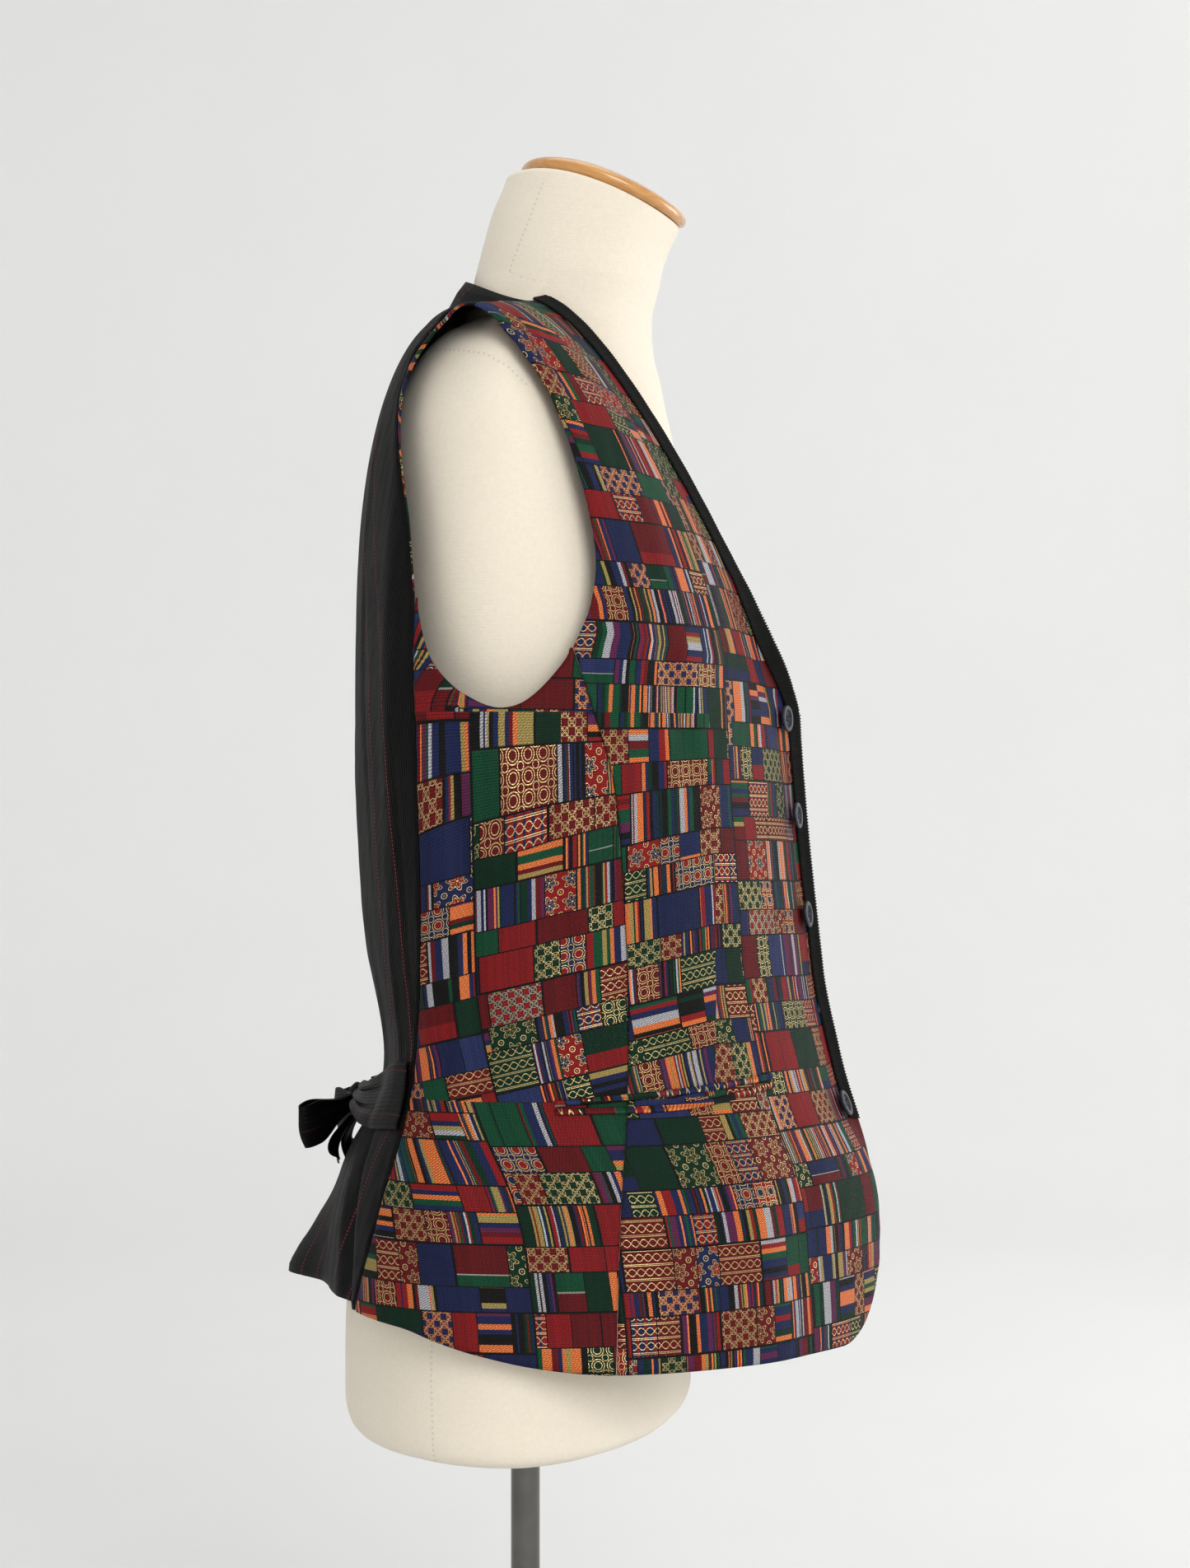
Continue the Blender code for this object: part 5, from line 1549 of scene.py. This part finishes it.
def refined(profile, step=1.0):
    """Profile with points at most a step apart, in millimetres."""
    result = [profile[0]]
    for before, after in zip(profile, profile[1:]):
        count = max(1, int(math.dist(before, after) / step))
        for index in range(1, count + 1):
            share = index / count
            result.append((blend(before[0], after[0], share), blend(before[1], after[1], share)))
    return result


def stand_on(made, centre, direction, own="Z"):
    """Places an object with one of its own axes along a direction."""
    made.matrix_world = Matrix.Translation(centre) @ direction.to_track_quat(own, "Y").to_matrix().to_4x4()


def thread_curve(name, paths, thickness):
    """Short threads as one mesh of tubes."""
    shape = bpy.data.curves.new(name, "CURVE")
    shape.dimensions = "3D"
    shape.bevel_depth = thickness / 2.0 * MM
    shape.bevel_resolution = 1
    shape.use_fill_caps = True
    for path in paths:
        line = shape.splines.new("POLY")
        line.points.add(len(path) - 1)
        for point, spot in zip(line.points, path):
            point.co = (*(Vector(spot) * MM), 1.0)
    made = link(name, shape)
    shape.materials.append(MATERIALS["thread"])
    return made


def button_place(height):
    """Centre and axis of a button, leaning on the standing front edge."""
    angle = angle_of_aside(edge_aside(np.array(height)) + BUTTON_INSET, height)
    centre = cloth_points(angle, height, CLOTH + OVERLAY_GAP + TRIM_THICK + BUTTON_LIFT, 0.0)
    axis = Vector(normals(angle, np.array(height)) * np.array([-1.0, -1.0, 1.0]))
    return Vector(mirrored(centre, 1)), Matrix.Rotation(math.radians(-BUTTON_TILT), 3, "Z") @ axis


def cut_holes(made):
    """Cuts the four thread holes of a button."""
    shape = bmesh.new()
    for spot in ((1, 1), (1, -1), (-1, 1), (-1, -1)):
        at = Matrix.Translation(Vector((spot[0] * HOLE_ASIDE, spot[1] * HOLE_ASIDE, 1.5)) * MM)
        bmesh.ops.create_cone(
            shape, cap_ends=True, segments=12,
            radius1=HOLE_RADIUS * MM, radius2=HOLE_RADIUS * MM, depth=HOLE_DEPTH * MM, matrix=at,
        )
    mesh = bpy.data.meshes.new(made.name + "_holes")
    shape.to_mesh(mesh)
    shape.free()
    cutter = link(mesh.name, mesh)
    cutter.matrix_world = made.matrix_world
    holes = made.modifiers.new("holes", "BOOLEAN")
    holes.object = cutter
    holes.operation = "DIFFERENCE"
    holes.solver = "EXACT"
    bpy.context.view_layer.update()
    cut = bpy.data.meshes.new_from_object(made.evaluated_get(bpy.context.evaluated_depsgraph_get()))
    made.modifiers.clear()
    made.data = cut
    bpy.data.objects.remove(cutter)


def make_buttons():
    """Four buttons with a raised rim, four holes and crossed thread."""
    rim = BUTTON_THICK
    outline = [(0.0, rim - 1.1), (BUTTON_RADIUS - 2.6, rim - 1.1)]
    for index in range(9):
        turn = math.radians(180.0 - 22.5 * index)
        outline.append((BUTTON_RADIUS - 1.3 + 1.3 * math.cos(turn), rim - 0.9 + 0.9 * math.sin(turn)))
    outline += [(BUTTON_RADIUS, rim * 0.45), (BUTTON_RADIUS - 1.6, 0.0), (0.0, 0.0)]
    made_all = []
    for title, height in BUTTON_HEIGHTS.items():
        name = "button_disc_" + title
        made = add_piece(name, turned_mesh(name, outline, 64), "button", ["button_" + title])
        stand_on(made, *button_place(height))
        cut_holes(made)
        paths = []
        for sign in (-1, 1):
            steps = ((-HOLE_ASIDE, 0.4), (-1.1, 1.9), (1.1, 2.0), (HOLE_ASIDE, 0.4))
            paths.append([(across, across * sign, level) for across, level in steps])
        thread = thread_curve("button_thread_" + title, paths, 0.5)
        thread.matrix_world = made.matrix_world
        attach(thread, "root")
        made_all += [made, thread]
    return made_all


def make_stub():
    """Loose threads where the fourth button is missing."""
    centre, axis = button_place(MISSING_BUTTON_HEIGHT)
    centre = centre - axis * STUB_SINK * MM
    paths = []
    for index in range(6):
        lean = index * 1.05
        reach = 2.2 + 0.7 * math.sin(index * 2.3)
        path = []
        for step in range(6):
            share = step / 5.0
            path.append((
                math.cos(lean) * reach * share ** 1.3 + 0.4 * math.sin(share * 5.0 + index),
                math.sin(lean) * reach * share ** 1.3,
                0.2 + 2.1 * math.sin(share * 2.4),
            ))
        paths.append(path)
    made = thread_curve("thread_stub", paths, 0.4)
    stand_on(made, centre, axis)
    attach(made, "root")
    return made


def belt_lift(share):
    """Distance of the belt's inner face from the cloth's inner face."""
    return CLOTH + BELT_CLEAR + BELT_LIFT * smoothstep(0.3, 1.0, share)


def belt_end_angle():
    """Angle at which the belt reaches the knot."""
    start = 150.0
    end = 180.0
    for _ in range(30):
        middle = (start + end) / 2.0
        if cloth_points(middle, BELT_KNOT_LEVEL, belt_lift(1.0), 0.0)[0] > BELT_END_ASIDE:
            start = middle
        else:
            end = middle
    return start


def make_belt(name, node, side):
    """Belt half, gathered into lengthwise pleats towards the knot."""
    start = float(nudge(back_seam_angle(np.array(BELT_SEAM_LEVEL)), BELT_SEAM_LEVEL, 1.0))
    end = belt_end_angle()
    share = np.linspace(0.0, 1.0, 120)
    edge = np.linspace(-1.0, 1.0, 49)[:, None]
    half = blend(BELT_HALF_WIDTH, BELT_KNOT_HALF_WIDTH, smoothstep(0.15, 1.0, share))
    level = blend(BELT_SEAM_LEVEL, BELT_KNOT_LEVEL, smoothstep(0.0, 1.0, share))
    rise = level + edge * half
    angle = np.repeat(blend(start, end, share)[None, :], len(edge), axis=0)
    gather = smoothstep(0.2, 0.95, share)
    pleats = (np.cos(edge * 9.0 + 1.4 * share) + 0.5 * np.sin(edge * 17.0 - 2.0 * share)) * 1.1 * gather
    droop = 0.9 * np.sin(share * 9.0 + edge * 2.2) * np.sin(math.pi * share)
    rounded = -1.1 * np.exp(-((1.0 - np.abs(edge)) * half / 1.4) ** 2)
    lift = belt_lift(share) + BELT_THICK + 0.3 + pleats + droop + rounded
    points = cloth_points(angle, rise, lift, 0.3)
    length = 170.0
    maps = spread(edge * BELT_HALF_WIDTH + 35.0, share * length)
    made = add_wall(name, points, side, maps, "belt", node, BELT_WALL)
    return made, length


def make_knot():
    """Knot of the bow, with folds drawn in to its ends."""
    rows = 36
    columns = 72
    lat = np.linspace(0.001, math.pi - 0.001, rows)[:, None]
    lon = np.linspace(0.0, 2.0 * math.pi, columns, endpoint=False)[None, :]
    folds = 1.0 + 0.07 * np.cos(6.0 * lon + 0.8 * np.cos(lat)) + 0.03 * np.cos(13.0 * lon)
    points = np.stack([
        KNOT_RADII[0] * np.cos(lat) + 0.0 * lon,
        -BOW_BACK + KNOT_RADII[1] * np.sin(lat) * np.cos(lon) * folds * 0.95,
        BOW_LEVEL + KNOT_RADII[2] * np.sin(lat) * np.sin(lon) * folds * 0.95,
    ], axis=-1)
    maps = spread(lon * 9.0, lat * 9.0)
    mesh = sheet_mesh("bow_knot_folds", points, -1, maps, closed=True)
    return add_piece("bow_knot_folds", mesh, "belt", ["bow_knot"])


def loop_frame(side):
    """Start, outward, thickness and width directions of a bow loop, in world millimetres."""
    sweep = math.radians(LOOP_SWEEP)
    tilt = math.radians(LOOP_TILT)
    aside = -side * math.cos(sweep) * math.cos(tilt)
    ahead = Vector((aside, math.sin(sweep), -math.sin(tilt) * LOOP_DROOP)).normalized()
    across = ahead.cross(Vector((0.0, 0.0, 1.0))).normalized()
    width = across.cross(ahead).normalized()
    start = Vector((0.0, BOW_BACK, BOW_LEVEL)) + ahead * (KNOT_RADII[0] - 1.6)
    return start, ahead, across, width


def make_loop(name, node, side):
    """Ribbon loop of the bow, pinched at the knot and open at its far end."""
    start, ahead, across, width = (np.array(part) for part in loop_frame(side))
    t = np.linspace(0.0, 1.0, 90)[:, None]
    w = np.linspace(-1.0, 1.0, 31)[None, :]
    round_share = np.sin(math.pi * t)
    out = LOOP_LENGTH * round_share ** 0.8
    swell = LOOP_THICK * np.sin(2.0 * math.pi * t) * round_share ** 0.3
    half = blend(4.6, LOOP_HALF_WIDTH, smoothstep(0.0, 0.75, round_share))
    crumple = 0.9 * np.cos(w * 7.0 + 2.5 * t) * smoothstep(1.0, 0.25, round_share)
    crumple = crumple + 0.5 * np.sin(w * 3.1 + 6.0 * t)
    sag = -2.0 * round_share * (w * w)
    points = (
        start
        + ahead * (out + sag)[..., None]
        + across * (swell + crumple)[..., None]
        + width * (half * w)[..., None]
    )
    local = points * np.array([-side, -1.0, 1.0])
    maps = spread(w * 12.0 + 50.0, t * 100.0)
    return add_wall(name, local, side, maps, "belt", node, LOOP_WALL, 0.0)


def make_tail(name, node, side):
    """Tail of the bow, which hangs from under the knot to a slanted tip."""
    share = np.linspace(0.0, 1.0, 50)[::-1, None]
    across = np.linspace(1.0, -1.0, 25)[None, :]
    half = blend(TAIL_WIDTH * 0.22, TAIL_WIDTH * 0.5, smoothstep(0.0, 0.5, share))
    slant = TAIL_SLANT * share * (across + 1.0) / 2.0
    drop = (TAIL_LENGTH - slant) * share
    aside = TAIL_START_ASIDE + TAIL_SPREAD * share + across * half
    bulge = 8.5 * np.sin(share * 2.2) - 1.6 * np.cos(across * 2.4)
    bulge = bulge + 0.5 * np.cos(across * 6.0 + share * 3.0)
    points = np.stack([aside, -BOW_BACK - 3.8 - bulge, BOW_LEVEL - 9.3 - drop * 0.92], axis=-1)
    maps = spread(across * 11.0 + 50.0, share * TAIL_LENGTH)
    return add_wall(name, points, side, maps, "belt", node, TAIL_WALL)


# Seams of the form's cover, as forward and height of each point
COVER_SEAMS = (
    ((-30.0, 834.0), (-14.0, 832.0), (4.0, 828.0), (16.0, 821.0), (25.0, 812.0)),
    ((-22.0, 253.0), (-23.0, 300.0), (-22.0, 380.0), (-20.0, 480.0), (-17.0, 600.0), (-14.0, 640.0)),
    ((-4.0, 879.0), (0.0, 892.0), (6.0, 907.0), (17.0, 935.0)),
)


def seam_fields(points):
    """Signed distance from the nearest cover seam and length along it, in metres."""
    best = np.full(points.shape[:2], 1.0)
    along = np.full(points.shape[:2], -1.0)
    flat = points[..., 1:]
    for seam in COVER_SEAMS:
        travelled = 0.0
        for before, after in zip(seam, seam[1:]):
            first = np.array(before)
            step = np.array(after) - first
            size = float(np.linalg.norm(step))
            share = ((flat - first) @ step) / (size * size)
            away = ((flat - first) @ np.array([-step[1], step[0]])) / size * MM
            closer = (share > -0.05) & (share < 1.05) & (np.abs(away) < np.abs(best))
            best = np.where(closer, away, best)
            along = np.where(closer, (travelled + share * size) * MM, along)
            travelled += size
    return best, along


def neck_top(forward):
    """Movement upward of the neck's top, which curves down to the back and the front."""
    back, front = NECK_TOP_BEND
    return NECK_TOP_RISE - np.where(forward < 0.0, back, front) * (forward / CAP_RADIUS) ** 2


def make_form():
    """Padded torso and neck, a smooth loft through the form's sections."""
    heights = np.linspace(FORM_SECTIONS[0][0], FORM_SECTIONS[-1][0], FORM_RINGS)
    turn = np.linspace(0.0, 2.0 * math.pi, FORM_SEGMENTS, endpoint=False)
    ahead = np.cos(turn)[None, :]
    aside = np.sin(turn)[None, :]
    values = {}
    levels = [row[0] for row in FORM_SECTIONS]
    for index, name in enumerate(FORM_COLUMNS[1:], 1):
        straight = np.interp(heights, levels, [row[index] for row in FORM_SECTIONS])
        smooth = read(FORM_SECTIONS, FORM_COLUMNS, heights, name)
        values[name] = np.where(heights < CURVED_BELOW, smooth, straight)[:, None]
    radii = []
    for reach, rear, half in (("front", "back", "half_width"), ("neck_front", "neck_back", "neck_half")):
        depth = np.where(ahead > 0, values[reach] - FORM_CENTRE, values[rear] + FORM_CENTRE)
        radii.append(1.0 / np.hypot(aside / values[half], ahead / np.maximum(depth, 1.0)))
    radius = (radii[0] ** NECK_BLEND + radii[1] ** NECK_BLEND) ** (1.0 / NECK_BLEND)
    bearing = np.abs(np.degrees(np.arctan2(aside, ahead)))
    near, middle, far = SHOULDER_FILL_TURNS
    fill = smoothstep(near, middle, bearing) * smoothstep(far, middle, bearing)
    radius = radius * (1.0 + SHOULDER_FILL * fill * smoothstep(*SHOULDER_FILL_LEVELS, heights[:, None]))
    raised = SHOULDER_RAISE * smoothstep(80.0, 125.0, np.abs(aside * radius))
    raised = raised * smoothstep(*SHOULDER_FILL_LEVELS, heights[:, None])
    body = np.stack([aside * radius, FORM_CENTRE + ahead * radius, heights[:, None] + raised], axis=-1)
    neck = []
    top = NECK_RINGS[-1][0]
    for height in np.linspace(NECK_RINGS[0][0], top, NECK_ROWS):
        centre, half_depth, half_width, tilt = (
            float(read(NECK_RINGS, NECK_COLUMNS, height, name)) for name in NECK_COLUMNS[1:]
        )
        lean = math.radians(tilt)
        reach = np.cos(turn) * half_depth
        top_share = smoothstep(top - NECK_TOP_REACH, top, height)
        neck.append(np.stack([
            np.sin(turn) * half_width,
            centre + reach * math.cos(lean),
            height - reach * math.sin(lean) + neck_top(reach) * top_share,
        ], axis=-1))
    points = np.concatenate([body, np.array(neck)])
    last = points[-1]
    middle = last.mean(axis=0)
    rim = points[0]
    base = rim.mean(axis=0)
    points = np.concatenate([
        [base + (rim - base) * 0.01, base + (rim - base) * 0.6, base + (rim - base) * 0.97],
        points,
        [middle + (last - middle) * 0.9, middle + (last - middle) * 0.01],
    ])
    away, along = seam_fields(points)
    away = np.where(np.abs(points[..., 0]) > 40.0, away, 1.0)
    mesh = sheet_mesh("form_cover", points, -1, {"seam": (away, along)}, closed=True)
    return add_piece("form_cover", mesh, "jersey", ["form_torso"])


def make_stand():
    """Varnished neck cap, chrome pole and base."""
    profile = [(0.0, CAP_THICK)]
    for index in range(1, 14):
        share = index / 14.0
        profile.append((CAP_RADIUS * share * 0.94, CAP_THICK - (CAP_THICK - CAP_RIM) * share ** 2))
    half = CAP_RIM / 2.0
    for index in range(17):
        turn = math.radians(90.0 - 180.0 * index / 16)
        profile.append((CAP_RADIUS - half + half * math.cos(turn), half + half * math.sin(turn)))
    profile.append((0.0, 0.0))
    mesh = turned_mesh("neck_cap_wood", refined(profile, 3.0), 128)
    cap = add_piece("neck_cap_wood", mesh, "wood", ["form_neck_cap"])
    lean = math.radians(CAP_TILT)
    up = Vector((0.0, -math.sin(lean), math.cos(lean)))
    ahead = Vector((0.0, -math.cos(lean), -math.sin(lean)))
    height, forward = NECK_RINGS[-1][:2]
    seat = Vector((0.0, -forward, height)) + up * GAP + ahead * CAP_FORWARD
    stand_on(cap, seat * MM, up)
    into = cap.matrix_world.inverted()
    for vertex in mesh.vertices:
        spot = cap.matrix_world @ vertex.co
        reach = -spot.y / MM - forward
        spot.z += float(neck_top(reach)) * MM
        vertex.co = into @ spot
    top = TORSO_BOTTOM - GAP
    bottom = BASE_THICK + GAP
    pole = refined([(0.0, top), (POLE_RADIUS, top), (POLE_RADIUS, bottom), (0.0, bottom)], 8.0)
    add_piece("pole_chrome", turned_mesh("pole_chrome", pole, 96), "chrome", ["form_pole"])
    base = refined([
        (0.0, BASE_THICK),
        (14.0, BASE_THICK),
        (BASE_RADIUS - 12.0, BASE_RISE),
        (BASE_RADIUS - 2.0, BASE_EDGE),
        (BASE_RADIUS, BASE_EDGE - 2.0),
        (BASE_RADIUS, 0.0),
        (0.0, 0.0),
    ], 6.0)
    add_piece("base_chrome", turned_mesh("base_chrome", base, 160), "chrome", ["form_base"])


def make_cloth():
    """Every cloth panel, with its trim, pockets, buttons, facing, belt and bow."""
    front = front_grid()
    side_panel = side_grid()
    back = back_grid()
    trims = {
        "right": make_trim("trim_braid_right", "trim_right", 1, TRIM_END, neck_shift),
        "left": make_trim("trim_braid_left", "trim_left", -1, LEFT_TRIM_START, tuck_shift),
    }
    buttons = make_buttons() + [make_stub()]
    for name, side in (("right", 1), ("left", -1)):
        shift = tuck_shift if side < 0 else neck_shift
        welts = []
        for title, sign in (("upper", 1.0), ("lower", -1.0)):
            node = "pocket_welt_" + title + "_" + name
            welts.append(make_welt("welt_" + title + "_" + name, node, side, sign))
        seams = {"last": 0.9, "hem": 0.5, "first": 0.5}
        made, flat, area = cloth_panel(
            "front_cloth_" + name, front, side, "brocade", "front_" + name, seams, shift,
            origin=(37.0 * side, 11.0 * side),
        )
        extra = welts + [trims[name]] + (buttons if side > 0 else [])
        seams = {"first": 0.9, "last": 0.9, "hem": 0.5, "top": 0.5}
        made, flat, area = cloth_panel(
            "side_cloth_" + name, side_panel, side, "brocade", "side_" + name, seams,
            origin=(611.0, 9.0 + 5.0 * side),
        )
        seams = {"first": 0.8, "last": 0.7, "hem": 0.5, "top": 0.4}
        made, flat, area = cloth_panel(
            "back_cloth_" + name, back, side, "satin", "back_" + name, seams, collar_shift, True,
        )
        facing = make_facing("facing_" + name, "armhole_facing_" + name, side)
        belt, length = make_belt("belt_satin_" + name, "belt_" + name, side)
        length * MM
        0.9 * 2.0 * BELT_HALF_WIDTH * length * MM * MM
        loop = make_loop("bow_ribbon_" + name, "bow_loop_" + name, side)
        tail = make_tail("bow_end_" + name, "bow_tail_" + name, side)
    make_knot()


def make_stage():
    """Round seamless backdrop, soft lights and the camera."""
    profile = [(reach, BACKDROP_LEVEL) for reach in (0.001, BACKDROP_FLAT / 2.0, BACKDROP_FLAT)]
    for index in range(1, 25):
        turn = math.radians(90.0 * index / 24)
        reach = BACKDROP_FLAT + BACKDROP_BEND * math.sin(turn)
        profile.append((reach, BACKDROP_LEVEL + BACKDROP_BEND * (1.0 - math.cos(turn))))
    profile.append((BACKDROP_FLAT + BACKDROP_BEND, BACKDROP_TOP))
    mesh = turned_mesh("backdrop", profile, 96)
    stage = link("backdrop", mesh)
    mesh.materials.append(MATERIALS["backdrop"])
    world = bpy.data.worlds.new("studio")
    bpy.context.scene.world = world
    world.use_nodes = True
    sky = world.node_tree.nodes["Background"]
    sky.inputs["Color"].default_value = WORLD_COLOUR
    sky.inputs["Strength"].default_value = WORLD_STRENGTH
    for name, place, target, size, power in LIGHTS:
        lamp = bpy.data.lights.new(name, "AREA")
        lamp.size = size
        lamp.energy = power
        made = link(name, lamp)
        made.visible_camera = False
        stand_on(made, Vector(place), Vector(target) - Vector(place), "-Z")
    turn = math.radians(CAMERA_TURN)
    ahead = Vector((math.cos(turn), math.sin(turn), 0.0))
    right = Vector((math.sin(turn), -math.cos(turn), 0.0))
    film = bpy.data.cameras.new("camera")
    film.sensor_fit = "VERTICAL"
    film.sensor_height = FILM_HEIGHT
    film.lens = FILM_HEIGHT * CAMERA_DISTANCE / VIEW_HEIGHT
    camera = link("camera", film)
    spot = right * CAMERA_SHIFT - ahead * CAMERA_DISTANCE + Vector((0.0, 0.0, CAMERA_HEIGHT))
    stand_on(camera, spot, ahead, "-Z")
    bpy.context.scene.camera = camera
    bpy.context.scene.view_settings.view_transform = "Standard"


make_form()
make_stand()
make_cloth()
make_stage()

bpy.context.view_layer.update()
